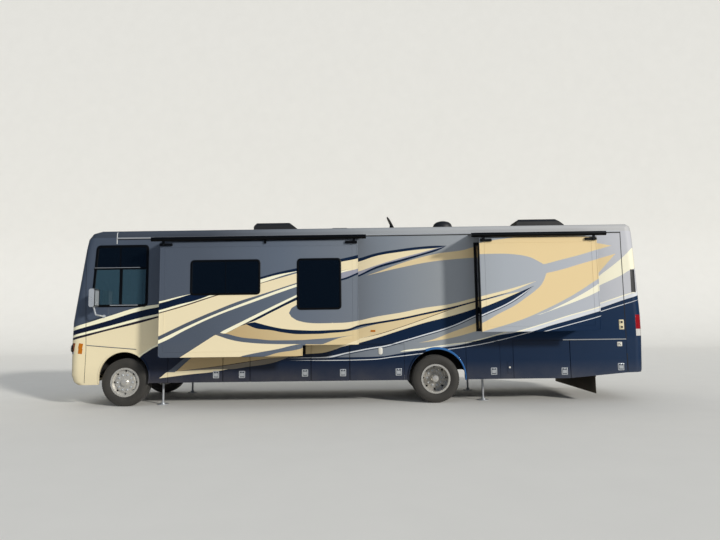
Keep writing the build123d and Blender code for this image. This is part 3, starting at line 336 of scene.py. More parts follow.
# Plain finishes: light and dark shade, grain size in mm, grain depth in mm, roughness low and high.
finishes = dict(
    # painted sky reflection: a lighter blue on the flare's tail side and top, where it would mirror the sky
    flareSkyReflection=dict(name="blue flare paint with painted sky reflection", light="3F73AE", dark="275690", grain=20, depth=0.1,
                    rough=(0.12, 0.22)),
    # fine leather grain, soft sheen
    mouldedAbs=dict(name="moulded black ABS", light="26282B", dark="17181A", grain=6, depth=0.4, rough=(0.38, 0.55)),
    # even satin coat with road dust
    paintedSteel=dict(name="powder-coated black steel", light="232426", dark="131415", grain=9, depth=0.5,
                      rough=(0.45, 0.7), dust="5E5648"),
    # dark dull metal of the window frames
    anodised=dict(name="black anodised aluminium", light="1B1D20", dark="0E0F11", grain=4, depth=0.1,
                  rough=(0.3, 0.4), shader={"Metallic": 0.6}),
    # long soft highlights on the rails
    satinAluminium=dict(name="satin extruded aluminium", light="D3D7DB", dark="B8BCC1", grain=5, depth=0.1,
                        rough=(0.3, 0.42), shader={"Metallic": 0.5}),
    # bright latches with worn edges
    castZinc=dict(name="chromed zinc casting", light="E2E6EA", dark="C6CCD2", grain=8, depth=0.2,
                  rough=(0.18, 0.3), shader={"Metallic": 0.5}),
    # dull black lines round doors and windows
    gasket=dict(name="EPDM rubber gasket", light="141517", dark="0B0C0D", grain=5, depth=0.2, rough=(0.6, 0.75)),
    # slightly yellowed white covers
    whitePlastic=dict(name="UV-stable white acrylic", light="E9E7DF", dark="D6D2C6", grain=7, depth=0.1,
                      rough=(0.3, 0.45)),
    # warm ivory plate
    creamPlastic=dict(name="ivory outlet cover", light="EDE3C4", dark="DCCFA8", grain=6, depth=0.1,
                      rough=(0.35, 0.5)),
    # dull rough black under the floor
    underCoat=dict(name="bitumen undercoat", light="1C1C1D", dark="101011", grain=14, depth=1.5,
                   rough=(0.75, 0.95), dust="544B3E"),
    # waxy dark bay liners
    bayLining=dict(name="rotomoulded polyethylene", light="2E3033", dark="212326", grain=10, depth=0.6,
                   rough=(0.55, 0.7)),
    # dusty rubber sheet
    flapRubber=dict(name="ribbed flap rubber", light="1A1A1B", dark="101011", grain=12, depth=1.0,
                    rough=(0.7, 0.85), dust="6A604F"),
    # matt pebbled dash
    dashPlastic=dict(name="soft-touch polyurethane", light="3A3B3D", dark="2B2C2E", grain=3, depth=0.4,
                     rough=(0.6, 0.75)),
    # thin pale bead on the cap's joint
    sealant=dict(name="white silicone sealant", light="E4E6E6", dark="C9CBCB", grain=10, depth=0.3,
                 rough=(0.45, 0.6)),
    # dull roof housings with a faint sheen on top
    shroudAbs=dict(name="textured black shroud ABS", light="2A2B2E", dark="1B1C1E", grain=5, depth=0.5,
                   rough=(0.42, 0.6)),
    # carbon black, browned by dust, matt with a slight sheen at the shoulder; 6.7 mm grain
    rubber=dict(name="vulcanised tyre rubber", light="2C2B2A", dark="3F3C37", grain=20 / 3, depth=0.8,
                strength=0.4, rough=(0.62, 0.85), cloud=dict(Scale=7.0, Detail=6.0, Roughness=0.7),
                shader={"Sheen Weight": 0.1}),
    # corrected-grain hide, pebbles of about 5 mm, creased and slightly shiny
    leather=dict(name="grained seat leather", light="CFC9BD", dark="B3AB9C", grain=5, depth=0.8, strength=0.35,
                 rough=(0.38, 0.55), cloud=dict(Scale=8.0, Detail=5.0), pattern="ShaderNodeTexVoronoi", detail=0.0,
                 shader={"Coat Weight": 0.1}))
# what they share, unless one says otherwise, and the heights in metres between which road dust builds up
grime = dict(cloud=dict(Scale=3.0, Detail=4.0), detail=3.0, strength=0.5, spread=(0.3, 0.7), top=1.0, foot=0.2,
             most=0.8)


def makeFinish(f):
    g = grime
    material, tree, point = newMaterial(f["name"])
    grain = addNode(tree, f.get("pattern", "ShaderNodeTexNoise"),
                    inputs={"Vector": point, "Scale": 1000 / f["grain"], "Detail": f.get("detail", g["detail"])})
    cloud = addNode(tree, "ShaderNodeTexNoise", inputs={"Vector": point, **f.get("cloud", g["cloud"])})
    colour = addNode(tree, "ShaderNodeMix", {"data_type": "RGBA"},
                     {0: cloud, 6: toLinear(f["light"]), 7: toLinear(f["dark"])})
    if "dust" in f:  # more dust towards the ground
        height = addNode(tree, "ShaderNodeSeparateXYZ", inputs={0: point}).outputs["Z"]
        low = addNode(tree, "ShaderNodeMapRange",
                      inputs={"Value": height, 1: g["top"], 2: g["foot"], 3: 0.0, 4: g["most"]})
        share = addNode(tree, "ShaderNodeMath", {"operation": "MULTIPLY"}, {0: low, 1: cloud})
        colour = addNode(tree, "ShaderNodeMix", {"data_type": "RGBA"}, {0: share, 6: colour, 7: toLinear(f["dust"])})
    limits = dict(enumerate(g["spread"] + f["rough"], 1))  # inputs 1 to 4
    rough = addNode(tree, "ShaderNodeMapRange", inputs={"Value": cloud, **limits})
    bump = addNode(tree, "ShaderNodeBump", inputs={"Strength": f.get("strength", g["strength"]),
                                                   "Distance": f["depth"] / 1000, "Height": grain})
    shade(tree, {"Base Color": colour, "Roughness": rough, "Normal": bump, **f.get("shader", {})})
    return material


finish.update({key: makeFinish(f) for key, f in finishes.items()})

# Privacy glass: dark body tint, so it mirrors the surroundings and hides the room.
# The cab's lower side panes and the whole windshield are clearer.
glass = dict(dark="070C12", cab="4C6C7C", cabZ=2.83, cabX=-4.2, sideY=1.25, clearCab=0.62, clearDark=0.10,
             roughness=0.03, marked=0.11, marks=dict(Scale=16.0, Detail=5.0), spread=(0.4, 0.8), ior=1.52, coat=0.3)


def makeGlass():
    g = glass
    material, tree, point = newMaterial("tinted privacy glass")
    x, y, z = addNode(tree, "ShaderNodeSeparateXYZ", inputs={0: point}).outputs
    depth = addNode(tree, "ShaderNodeMath", {"operation": "ABSOLUTE"}, {0: y})
    ahead, below, frontal = [addNode(tree, "ShaderNodeMath", {"operation": "LESS_THAN"}, {0: place, 1: g[limit]})
                             for place, limit in ((x, "cabX"), (z, "cabZ"), (depth, "sideY"))]
    clearer = addNode(tree, "ShaderNodeMath", {"operation": "MAXIMUM"}, {0: below, 1: frontal})
    cab = addNode(tree, "ShaderNodeMath", {"operation": "MULTIPLY"}, {0: ahead, 1: clearer})
    # water marks, faint runs about 60 mm wide
    marks = addNode(tree, "ShaderNodeTexNoise", inputs={"Vector": point, **g["marks"]})
    wipe = addNode(tree, "ShaderNodeMapRange", inputs={
        "Value": marks, 1: g["spread"][0], 2: g["spread"][1], 3: g["roughness"], 4: g["marked"]})
    tint = addNode(tree, "ShaderNodeMix", {"data_type": "RGBA"},
                   {0: cab, 6: toLinear(g["dark"]), 7: toLinear(g["cab"])})
    clear = addNode(tree, "ShaderNodeMapRange", inputs={"Value": cab, 3: g["clearDark"], 4: g["clearCab"]})
    shade(tree, {"Base Color": tint, "Roughness": wipe, "Transmission Weight": clear, "IOR": g["ior"],
                 "Coat Weight": g["coat"]})
    return material


# Lamp plastics: smooth polycarbonate with moulded optics, 8 mm flutes under a glossy face.
# The second colour lies above splitZ and behind splitX.
lensFace = dict(roughness=0.08, ior=1.49, coat=0.5, flutes=20.0, bump=dict(Strength=0.5, Distance=0.002))
lenses = dict(
    headLens=dict(name="headlamp polycarbonate", low="D5DAE0", high="B8652A", splitZ=1.13, splitX=-5.83,
                  through=0.35),
    tailLens=dict(name="tail lamp acrylic", low="E6E4E0", high="A80F18", splitZ=1.455, splitX=-9.0, through=0.25),
    amberLens=dict(name="amber marker acrylic", low="D07A18", high="D07A18", splitZ=9.0, splitX=-9.0, through=0.2),
    redLens=dict(name="red marker acrylic", low="A80F18", high="A80F18", splitZ=9.0, splitX=-9.0, through=0.2))


def makeLens(l):
    face = lensFace
    material, tree, point = newMaterial(l["name"])
    place = addNode(tree, "ShaderNodeSeparateXYZ", inputs={0: point}).outputs
    high, back = [addNode(tree, "ShaderNodeMath", {"operation": "GREATER_THAN"},
                          {0: place[axis], 1: l["split" + axis]}) for axis in "ZX"]
    lit = addNode(tree, "ShaderNodeMath", {"operation": "MULTIPLY"}, {0: high, 1: back})
    colour = addNode(tree, "ShaderNodeMix", {"data_type": "RGBA"},
                     {0: lit, 6: toLinear(l["low"]), 7: toLinear(l["high"])})
    flutes = addNode(tree, "ShaderNodeTexWave", {"bands_direction": "Z"}, {"Vector": point, "Scale": face["flutes"]})
    bump = addNode(tree, "ShaderNodeBump", inputs={"Height": flutes.outputs["Fac"], **face["bump"]})
    shade(tree, {"Base Color": colour, "Normal": bump, "Roughness": face["roughness"], "IOR": face["ior"],
                 "Transmission Weight": l["through"], "Coat Weight": face["coat"]})
    return material


# Polished aluminium: forged wheels turned on a lathe, with 7 mm rings along the axle's direction.
# The colour darkens deep in the dish, between the hub and the outer lip: painted shade of the recess, with brake
# dust.
rimMetal = dict(light="EDEBE6", dark="DAD7CF", dust="968F84", lipY=1.16, deepY=1.02, dustMost=0.4, rings=900.0,
                metallic=0.6, spread=(0.3, 0.7), rough=(0.2, 0.36), cloud=dict(Scale=9.0, Detail=5.0),
                bump=dict(Strength=0.15, Distance=0.0005))


def makeRimMetal():
    r = rimMetal
    material, tree, point = newMaterial("polished forged aluminium")
    across = addNode(tree, "ShaderNodeSeparateXYZ", inputs={0: point}).outputs["Y"]
    cloud = addNode(tree, "ShaderNodeTexNoise", inputs={"Vector": point, **r["cloud"]})
    colour = addNode(tree, "ShaderNodeMix", {"data_type": "RGBA"},
                     {0: cloud, 6: toLinear(r["light"]), 7: toLinear(r["dark"])})
    angle = addNode(tree, "ShaderNodeMath", {"operation": "MULTIPLY"}, {0: across, 1: r["rings"]})
    turning = addNode(tree, "ShaderNodeMath", {"operation": "SINE"}, {0: angle})
    depth = addNode(tree, "ShaderNodeMath", {"operation": "ABSOLUTE"}, {0: across})
    # the deeper in the dish, the more of the darker colour: painted shade, with brake dust
    deep = addNode(tree, "ShaderNodeMapRange",
                   inputs={"Value": depth, 1: r["lipY"], 2: r["deepY"], 3: 0.0, 4: r["dustMost"]})
    dishShadeAndDust = addNode(tree, "ShaderNodeMix", {"data_type": "RGBA"}, {0: deep, 6: colour, 7: toLinear(r["dust"])})
    limits = dict(enumerate(r["spread"] + r["rough"], 1))
    rough = addNode(tree, "ShaderNodeMapRange", inputs={"Value": cloud, **limits})
    bump = addNode(tree, "ShaderNodeBump", inputs={"Height": turning, **r["bump"]})
    shade(tree, {"Base Color": dishShadeAndDust, "Roughness": rough, "Normal": bump, "Metallic": r["metallic"]})
    return material


# Awning cloth: solution-dyed acrylic, threads about 0.7 mm apart, drawn at 5 mm so that the weave shows.
awningCloth = dict(light="1C1E22", faded="2C2E33", threads=31.0, patches=dict(Scale=2.0, Detail=4.0),
                   bump=dict(Strength=0.4, Distance=0.0006), roughness=0.9, sheen=0.3)


def makeAwningCloth():
    c = awningCloth
    material, tree, point = newMaterial("woven awning acrylic")
    warp, weft = [addNode(tree, "ShaderNodeTexWave", {"bands_direction": way},
                          {"Vector": point, "Scale": c["threads"]}).outputs["Fac"] for way in "XY"]
    weave = addNode(tree, "ShaderNodeMath", {"operation": "ADD"}, {0: warp, 1: weft})
    patches = addNode(tree, "ShaderNodeTexNoise", inputs={"Vector": point, **c["patches"]})
    colour = addNode(tree, "ShaderNodeMix", {"data_type": "RGBA"},
                     {0: patches, 6: toLinear(c["light"]), 7: toLinear(c["faded"])})
    bump = addNode(tree, "ShaderNodeBump", inputs={"Height": weave, **c["bump"]})
    shade(tree, {"Base Color": colour, "Normal": bump, "Roughness": c["roughness"], "Sheen Weight": c["sheen"]})
    return material


finish.update({key: makeLens(l) for key, l in lenses.items()}, glass=makeGlass(), rim=makeRimMetal(),
              cloth=makeAwningCloth())

# which finish each CAD node wears; the rest is body paint
wears = dict(
    glass=["windshield", "side_windows", "front_slide_windows"], headLens=["headlamps"], tailLens=["tail_lamps"],
    underCoat=["coach_floor", "fuel_tank", "engine_block"], bayLining=["storage_bays"], roofPaint=["roof"],
    paintedSteel=["chassis_frame", "front_axle", "rear_axle", "left_knuckle", "right_knuckle", "entry_step"],
    satinAluminium=["front_left_jack_leg", "front_right_jack_leg", "rear_left_jack_leg", "rear_right_jack_leg"],
    anodised=["front_slide_awning", "rear_slide_awning", "right_slide_awning", "patio_awning"],
    rim=["front_left_rim", "front_right_rim", "rear_left_rims", "rear_right_rims"],
    rubber=["front_left_tyre", "front_right_tyre", "rear_left_tyres", "rear_right_tyres"],
    cloth=["front_awning_sheet", "rear_awning_sheet", "right_awning_sheet"], castZinc=["mirrors"],
    shroudAbs=["roof_air_conditioners", "roof_fittings"], flapRubber=["mud_flap"], leather=["cab_seats"],
    dashPlastic=["dashboard"])
wornBy = {node: key for key, names in wears.items() for node in names}
for name, obj in nodes.items():
    look = finish[wornBy.get(name, "bodyPaint")]
    for index in range(max(1, len(obj.material_slots))):
        if index < len(obj.material_slots):
            obj.material_slots[index].material = look
        else:
            obj.data.materials.append(look)
print("finishes given to", len(nodes), "nodes")

# Stage: pale floor that curves up into a pale backdrop, even sky and one wide soft sun from the front right.
# Reflections see a darker floor and a bluer sky than the eye does.
studio = dict(halfWidth=60, front=-40, foot=18, curve=9, top=34, steps=16, floor="E6E5E1", floorDark="E1E0DC",
              floorSeen="6E6A60", sky="E8EDF3", skySeen="33557F", skyStrength=0.56, sunStrength=2.5, sunAngle=6,
              sunColour=(1.0, 0.965, 0.90), sunFrom=(0.69, -0.64, 0.34), paperRough=0.95,
              fibre=dict(Scale=1.5, Detail=3.0))


def addStudio():
    s, scene = studio, bpy.context.scene
    angles = [k * math.pi / 2 / s["steps"] for k in range(s["steps"] + 1)]
    bend = [(s["foot"] + s["curve"] * math.sin(a), s["curve"] * (1 - math.cos(a))) for a in angles]
    line = [(s["front"], 0.0), *bend, (s["foot"] + s["curve"], s["top"])]
    verts = [(x, y, z) for x in (-s["halfWidth"], s["halfWidth"]) for y, z in line]
    n = len(line)
    mesh = bpy.data.meshes.new("backdrop")
    mesh.from_pydata(verts, [], [(i, i + 1, n + i + 1, n + i) for i in range(n - 1)])
    mesh.shade_smooth()
    backdrop = bpy.data.objects.new("backdrop", mesh)
    scene.collection.objects.link(backdrop)
    material, tree, point = newMaterial("matt studio paper")
    fibre = addNode(tree, "ShaderNodeTexNoise", inputs={"Vector": point, **s["fibre"]})
    tone = addNode(tree, "ShaderNodeMix", {"data_type": "RGBA"},
                   {0: fibre, 6: toLinear(s["floor"]), 7: toLinear(s["floorDark"])})
    world = bpy.data.worlds.new("even sky")
    world.use_nodes = True
    seen = []
    for place, plain, mirrored in ((tree, tone, s["floorSeen"]), (world.node_tree, toLinear(s["sky"]), s["skySeen"])):
        glossy = addNode(place, "ShaderNodeLightPath").outputs["Is Glossy Ray"]
        seen.append(addNode(place, "ShaderNodeMix", {"data_type": "RGBA"},
                            {0: glossy, 6: plain, 7: toLinear(mirrored)}))
    shade(tree, {"Base Color": seen[0], "Roughness": s["paperRough"]})
    mesh.materials.append(material)
    background = world.node_tree.nodes["Background"]
    world.node_tree.links.new(seen[1].outputs[2], background.inputs["Color"])
    background.inputs["Strength"].default_value = s["skyStrength"]
    scene.world = world
    sun = bpy.data.lights.new("soft sun", "SUN")
    sun.energy, sun.angle, sun.color = s["sunStrength"], math.radians(s["sunAngle"]), s["sunColour"]
    lamp = bpy.data.objects.new("soft sun", sun)
    lamp.rotation_euler = Vector(s["sunFrom"]).to_track_quat("Z", "Y").to_euler()
    scene.collection.objects.link(lamp)
    scene.view_settings.view_transform = "Standard"


addStudio()
print("studio ready")

# mesh helpers: a piece is gathered from shells, each (vertices, faces)
def roundOutline(corners, radius, steps=5):
    outline = []
    for i, corner in enumerate(corners):
        here = Vector(corner)
        before, after = Vector(corners[i - 1]) - here, Vector(corners[(i + 1) % len(corners)]) - here
        start = here + before.normalized() * min(radius, before.length * 0.49)
        end = here + after.normalized() * min(radius, after.length * 0.49)
        for k in range(steps + 1):
            t = k / steps
            outline.append(start * (1 - t) ** 2 + here * (2 * t * (1 - t)) + end * t ** 2)
    return outline


def offsetOutline(outline, amount):
    moved = []
    for i, here in enumerate(outline):
        a = (here - outline[i - 1]).normalized()
        b = (outline[(i + 1) % len(outline)] - here).normalized()
        out = Vector((a.y + b.y, -a.x - b.x))
        moved.append(here + out * (amount / max(0.3, 1 + a.dot(b))))
    return moved


def box2(x0, x1, z0, z1):
    return [(x0, z0), (x1, z0), (x1, z1), (x0, z1)]


def around(x, z, halfX, halfZ):
    return x - halfX, x + halfX, z - halfZ, z + halfZ


# a section is a list of (out from the outline, proud of the base)
def ringShell(outline, section, side, base, cap=False):
    loops = [[(p.x, side * (base + proud), p.y) for p in offsetOutline(outline, out)] for out, proud in section]
    n, verts = len(outline), [v for loop in loops for v in loop]
    faces = []
    for k in range(len(loops) - 1 if cap else len(loops)):
        a, b = k * n, ((k + 1) % len(loops)) * n
        faces += [(a + i, a + (i + 1) % n, b + (i + 1) % n, b + i) for i in range(n)]
    if cap:
        faces.append(tuple(range((len(loops) - 1) * n, len(loops) * n)))
    return verts, faces


def plateShell(box, radius, section, side, base, steps=3):
    return ringShell(roundOutline(box2(*box), radius, steps), section, side, base, cap=True)


def boxShell(lo, hi, edge=0.002):
    shape = bmesh.new()
    bmesh.ops.create_cube(shape, size=1)
    size, middle = Vector(hi) - Vector(lo), (Vector(hi) + Vector(lo)) / 2
    for v in shape.verts:
        v.co = Vector([v.co[i] * size[i] + middle[i] for i in range(3)])
    bmesh.ops.bevel(shape, geom=shape.edges[:], offset=min(edge, min(size) * 0.4), segments=2, affect="EDGES")
    shape.verts.index_update()
    found = [tuple(v.co) for v in shape.verts], [tuple(v.index for v in f.verts) for f in shape.faces]
    shape.free()
    return found


def wallBox(x0, x1, z0, z1, side, inner, outer, edge=0.002):
    low, high = sorted((side * inner, side * outer))
    return boxShell((x0, low, z0), (x1, high, z1), edge)


# a profile of (radius, height) turned round; at() says where a radius, height and angle lie
def spinShell(profile, at, steps, closed=False):
    verts = [at(r, h, 2 * math.pi * k / steps) for k in range(steps) for r, h in profile]
    n, faces = len(profile), []
    for k in range(steps):
        a, b = k * n, ((k + 1) % steps) * n
        faces += [(a + i, a + (i + 1) % n, b + (i + 1) % n, b + i) for i in range(n if closed else n - 1)]
    return verts, faces


def latheShell(profile, x, z, side, base, steps, closed=False):
    def at(r, h, a):
        return x + r * math.cos(a), side * (base + h), z + r * math.sin(a)
    return spinShell(profile, at, steps, closed)


def tubeShell(points, radius, steps=8):
    points = [Vector(p) for p in points]
    verts, faces, across = [], [], Vector((0.31, 0.17, 0.93))  # any direction that no tube here follows
    for i, point in enumerate(points):
        along = (points[min(i + 1, len(points) - 1)] - points[max(i - 1, 0)]).normalized()
        across = (across - along * across.dot(along)).normalized()
        other = along.cross(across)
        verts += [tuple(point + (across * math.cos(a) + other * math.sin(a)) * radius)
                  for a in (2 * math.pi * k / steps for k in range(steps))]
    for i in range(len(points) - 1):
        a, b = i * steps, (i + 1) * steps
        faces += [(a + k, a + (k + 1) % steps, b + (k + 1) % steps, b + k) for k in range(steps)]
    return verts, faces + [tuple(range(steps)), tuple(range(len(verts) - steps, len(verts)))]


def barShell(section, x0, x1, side):
    n = len(section)
    verts = [(x, side * y, z) for x in (x0, x1) for y, z in section]
    faces = [(i, (i + 1) % n, n + (i + 1) % n, n + i) for i in range(n)]
    return verts, faces + [tuple(range(n)), tuple(range(n, 2 * n))]


def arcShell(x, z, radius, start, end, section, side, base, steps=48):
    verts, faces, n = [], [], len(section)
    for k in range(steps + 1):
        a = math.radians(start + (end - start) * k / steps)
        swell = 1 + max(0.0, math.sin(a))  # twice as wide at the top
        for out, proud in section:
            r = radius + out * swell
            verts.append((x + r * math.cos(a), side * (base + proud), z + r * math.sin(a)))
        if k:
            faces += [(i + (k - 1) * n, (i + 1) % n + (k - 1) * n, (i + 1) % n + k * n, i + k * n) for i in range(n)]
    return verts, faces + [tuple(range(n)), tuple(range(steps * n, (steps + 1) * n))]


# strips lie on the coach's own skin, found by rays from outside
probe = dict(far=9, slack=0.05, spots=[(0, 0), (0.01, 0), (-0.01, 0), (0, 0.01), (0, -0.01), (0.02, 0), (-0.02, 0)],
             nodes=["left_wall", "right_wall", "front_cap", "rear_cap", "windshield", "roof", "headlamps",
                    "tail_lamps"])
facing = dict(left=(0, driver, 0), right=(0, kerb, 0), front=(-1, 0, 0), rear=(1, 0, 0))


def skinOf(names):
    verts, faces = [], []
    for name in names:
        start = len(verts)
        verts += [v.co.copy() for v in nodes[name].data.vertices]
        faces += [tuple(start + i for i in p.vertices) for p in nodes[name].data.polygons]
    return BVHTree.FromPolygons(verts, faces)


skin = skinOf(probe["nodes"])


def skinPoint(u, v, face, proud):
    out = Vector(facing[face])
    starts = [Vector((u + du, 0, v + dv)) if out.y else Vector((0, u + du, v + dv)) for du, dv in probe["spots"]]
    hits = [skin.ray_cast(start + out * probe["far"], -out)[0] for start in starts]
    reach = [(hit - start).dot(out) if hit else -probe["far"] for start, hit in zip(starts, hits)]
    # a ray that slips into a gap takes the depth of its neighbours
    depth = reach[0] if reach[0] > max(reach) - probe["slack"] else max(reach)
    if depth < 0:
        raise ValueError(f"no near surface at {u:.3f}, {v:.3f} on {face}")
    return tuple(starts[0] + out * (depth + proud))


# a strip that follows a line on the skin, its tops flat across and its edges sunk into the skin
def stripShell(line, width, face, proud, gap=0.03, sunk=0.004, across=2):
    line, points = [Vector(p) for p in line], []
    for a, b in zip(line, line[1:]):
        steps = max(1, int((b - a).length / gap))
        points += [a.lerp(b, k / steps) for k in range(steps)]
    points.append(line[-1])
    tops = [(-0.95 + 1.9 * k / (across - 1), proud) for k in range(across)]
    verts, faces, n = [], [], across + 2
    for i, point in enumerate(points):
        along = (points[min(i + 1, len(points) - 1)] - points[max(i - 1, 0)]).normalized()
        off = Vector((-along.y, along.x)) * (width / 2)
        verts += [skinPoint(*(point + off * share), face, height)
                  for share, height in [(-1, -sunk), *tops, (1, -sunk)]]
        if i:
            a, b = n * (i - 1), n * i
            faces += [(a + k, a + (k + 1) % n, b + (k + 1) % n, b + k) for k in range(n)]
    return verts, faces + [tuple(range(n)), tuple(range(len(verts) - n, len(verts)))]


def meshFrom(name, shells, sharp=35):
    verts, faces = [], []
    for shellVerts, shellFaces in shells:
        start = len(verts)
        verts += shellVerts
        faces += [tuple(start + i for i in face) for face in shellFaces]
    mesh = bpy.data.meshes.new(name)
    mesh.from_pydata(verts, [], faces)
    shape = bmesh.new()
    shape.from_mesh(mesh)
    bmesh.ops.remove_doubles(shape, verts=shape.verts, dist=0.00001)
    bmesh.ops.recalc_face_normals(shape, faces=shape.faces)
    shape.to_mesh(mesh)
    shape.free()
    mesh.shade_smooth()
    mesh.set_sharp_from_angle(angle=math.radians(sharp))
    return mesh


# the slot that each finish would fill, where a piece names no other; piece() looks it up but gives no slot
slotOf = dict(
    bodyPaint="body_paint", flareSkyReflection="body_paint", anodised="tinted_glass", glass="tinted_glass",
    satinAluminium="jack_steel", castZinc="polished_rim", rubber="tyre_rubber", cloth="awning_sheet",
    leather="seat_leather", paintedSteel="black_steel", amberLens="lamp_lens", redLens="red_lens", rim="lamp_lens",
    **dict.fromkeys(("gasket", "mouldedAbs", "shroudAbs"), "black_plastic"),
    **dict.fromkeys(("sealant", "whitePlastic", "creamPlastic"), "white_plastic"))


def piece(name, shells, look, bodyName="coach", slotName=None, sharp=35):
    mesh = shells if isinstance(shells, bpy.types.Mesh) else meshFrom(name, shells, sharp)
    mesh.name = name
    if not len(mesh.materials):
        mesh.materials.append(finish[look])
    obj = bpy.data.objects.new(name, mesh)
    bpy.context.scene.collection.objects.link(obj)
    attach(obj, bodyName)
    slotName or slotOf[look]
    return obj


# Geometry Nodes: one tree turns copies round an axle (along Y), one sets copies in a row
def makeTree(name, extra):
    tree = bpy.data.node_groups.new(name, "GeometryNodeTree")
    tree.interface.new_socket("Geometry", in_out="INPUT", socket_type="NodeSocketGeometry")
    keys = {label: tree.interface.new_socket(label, in_out="INPUT", socket_type=kind).identifier
            for label, kind in (("Count", "NodeSocketInt"), ("Material", "NodeSocketMaterial"), *extra)}
    tree.interface.new_socket("Geometry", in_out="OUTPUT", socket_type="NodeSocketGeometry")
    return tree, keys, addNode(tree, "NodeGroupInput").outputs, addNode(tree, "GeometryNodeInputIndex")


def endTree(tree, given, instances):
    real = addNode(tree, "GeometryNodeRealizeInstances", inputs={"Geometry": instances})
    shown = addNode(tree, "GeometryNodeSetMaterial", inputs={"Geometry": real, "Material": given["Material"]})
    addNode(tree, "NodeGroupOutput", inputs={"Geometry": shown})


def makeTurned():
    tree, keys, given, index = makeTree("turned repeat",
                                        (("Centre", "NodeSocketVector"), ("Step", "NodeSocketFloat")))
    back = addNode(tree, "ShaderNodeVectorMath", {"operation": "SCALE"}, {0: given["Centre"], "Scale": -1.0})
    seed = addNode(tree, "GeometryNodeTransform", inputs={"Geometry": given["Geometry"], "Translation": back})
    turn = addNode(tree, "ShaderNodeMath", {"operation": "MULTIPLY"}, {0: index, 1: given["Step"]})
    angles = addNode(tree, "ShaderNodeCombineXYZ", inputs={"Y": turn})
    points = addNode(tree, "GeometryNodePoints", inputs={"Count": given["Count"], "Position": given["Centre"]})
    rotation = addNode(tree, "FunctionNodeEulerToRotation", inputs={0: angles})
    endTree(tree, given, addNode(tree, "GeometryNodeInstanceOnPoints",
                                 inputs={"Points": points, "Instance": seed, "Rotation": rotation}))
    return tree, keys


def makeRow():
    tree, keys, given, index = makeTree("row repeat", (("Step", "NodeSocketVector"),))
    step = addNode(tree, "ShaderNodeVectorMath", {"operation": "SCALE"}, {0: given["Step"], "Scale": index})
    points = addNode(tree, "GeometryNodePoints", inputs={"Count": given["Count"], "Position": step})
    endTree(tree, given, addNode(tree, "GeometryNodeInstanceOnPoints",
                                 inputs={"Points": points, "Instance": given["Geometry"]}))
    return tree, keys


turned, row = makeTurned(), makeRow()


def settled(obj):
    return bpy.data.meshes.new_from_object(obj.evaluated_get(bpy.context.evaluated_depsgraph_get()))


def grow(name, shells, kind, look, **values):
    tree, keys = kind
    seed = bpy.data.objects.new(name, meshFrom(name, shells))
    bpy.context.scene.collection.objects.link(seed)
    repeat = seed.modifiers.new("repeat", "NODES")
    repeat.node_group = tree
    repeat[keys["Material"]] = finish[look]
    for label, value in values.items():
        repeat[keys[label.capitalize()]] = value
    grown = settled(seed)
    bpy.data.objects.remove(seed)
    return grown


# window frames: black anodised rings over the edge of each pane, proud by 7 mm
windows = dict(
    section=[(0.016, -0.003), (0.016, 0.004), (0.011, 0.007), (-0.016, 0.007), (-0.022, 0.001), (-0.022, -0.002)],
    cabSection=[(0.016, -0.003), (0.016, 0.004), (0.010, 0.007), (-0.030, 0.007), (-0.036, 0.001), (-0.036, -0.002)],
    radius=0.065, cabRadius=0.075, slideFace=1.8955, wallFace=1.2955,
    slidePanes=[(-3.169, -1.819, 2.242, 2.908), (-1.067, -0.227, 1.931, 2.913)],
    slideBar=(-2.496, -2.484, 2.250, 2.900), slideBarY=(-0.002, 0.002),
    kerbPanes=[(-2.9, -1.9, 2.242, 2.908), (-1.2, 0.0, 2.242, 2.908), (0.7, 1.7, 2.3, 2.9)],
    kerbBar=dict(x=[-2.4, -0.6, 1.2], half=0.014, short=0.010, y=(-0.002, 0.006)),
    cab=[(-5.425, 2.055), (-4.275, 2.055), (-4.275, 3.318), (-5.34, 3.318)],
    cabBars=[(-4.856, -4.793, 2.070, 2.842), (-4.860, -4.838, 2.842, 3.300), (-5.400, -4.290, 2.818, 2.862)],
    # the two thin light strips along the cab window's mid rail and sill are painted highlights
    cabBarY=(-0.001, 0.006), highlightStrips=[(-5.385, -4.430, 2.854, 2.863), (-5.040, -4.460, 2.068, 2.082)],
    trimY=(0.002, 0.0085), trimEdge=0.001)


def addWindows():
    w = windows
    panes = [ringShell(roundOutline(box2(*pane), w["radius"]), w["section"], driver, w["slideFace"])
             for pane in w["slidePanes"]]
    panes.append(wallBox(*w["slideBar"], driver, *[w["slideFace"] + proud for proud in w["slideBarY"]]))
    piece("front_slide_window_frames", panes, "anodised", "front_slide")
    frames, highlightStrips, wall = [], [], w["wallFace"]
    for side in sides.values():
        frames.append(ringShell(roundOutline(w["cab"], w["cabRadius"]), w["cabSection"], side, wall))
        frames += [wallBox(*bar, side, *[wall + proud for proud in w["cabBarY"]]) for bar in w["cabBars"]]
        highlightStrips += [wallBox(*bar, side, *[wall + proud for proud in w["trimY"]], w["trimEdge"]) for bar in w["highlightStrips"]]
    bar = w["kerbBar"]
    for pane, x in zip(w["kerbPanes"], bar["x"]):
        frames.append(ringShell(roundOutline(box2(*pane), w["radius"]), w["section"], kerb, wall))
        frames.append(wallBox(x - bar["half"], x + bar["half"], pane[2] + bar["short"], pane[3] - bar["short"], kerb,
                              *[wall + proud for proud in bar["y"]]))
    piece("side_window_frames", frames, "anodised")
    # light satin strips where highlights fall on the cab window: painted highlights
    piece("cab_window_highlight_strips", highlightStrips, "satinAluminium")


addWindows()
print("window frames done")
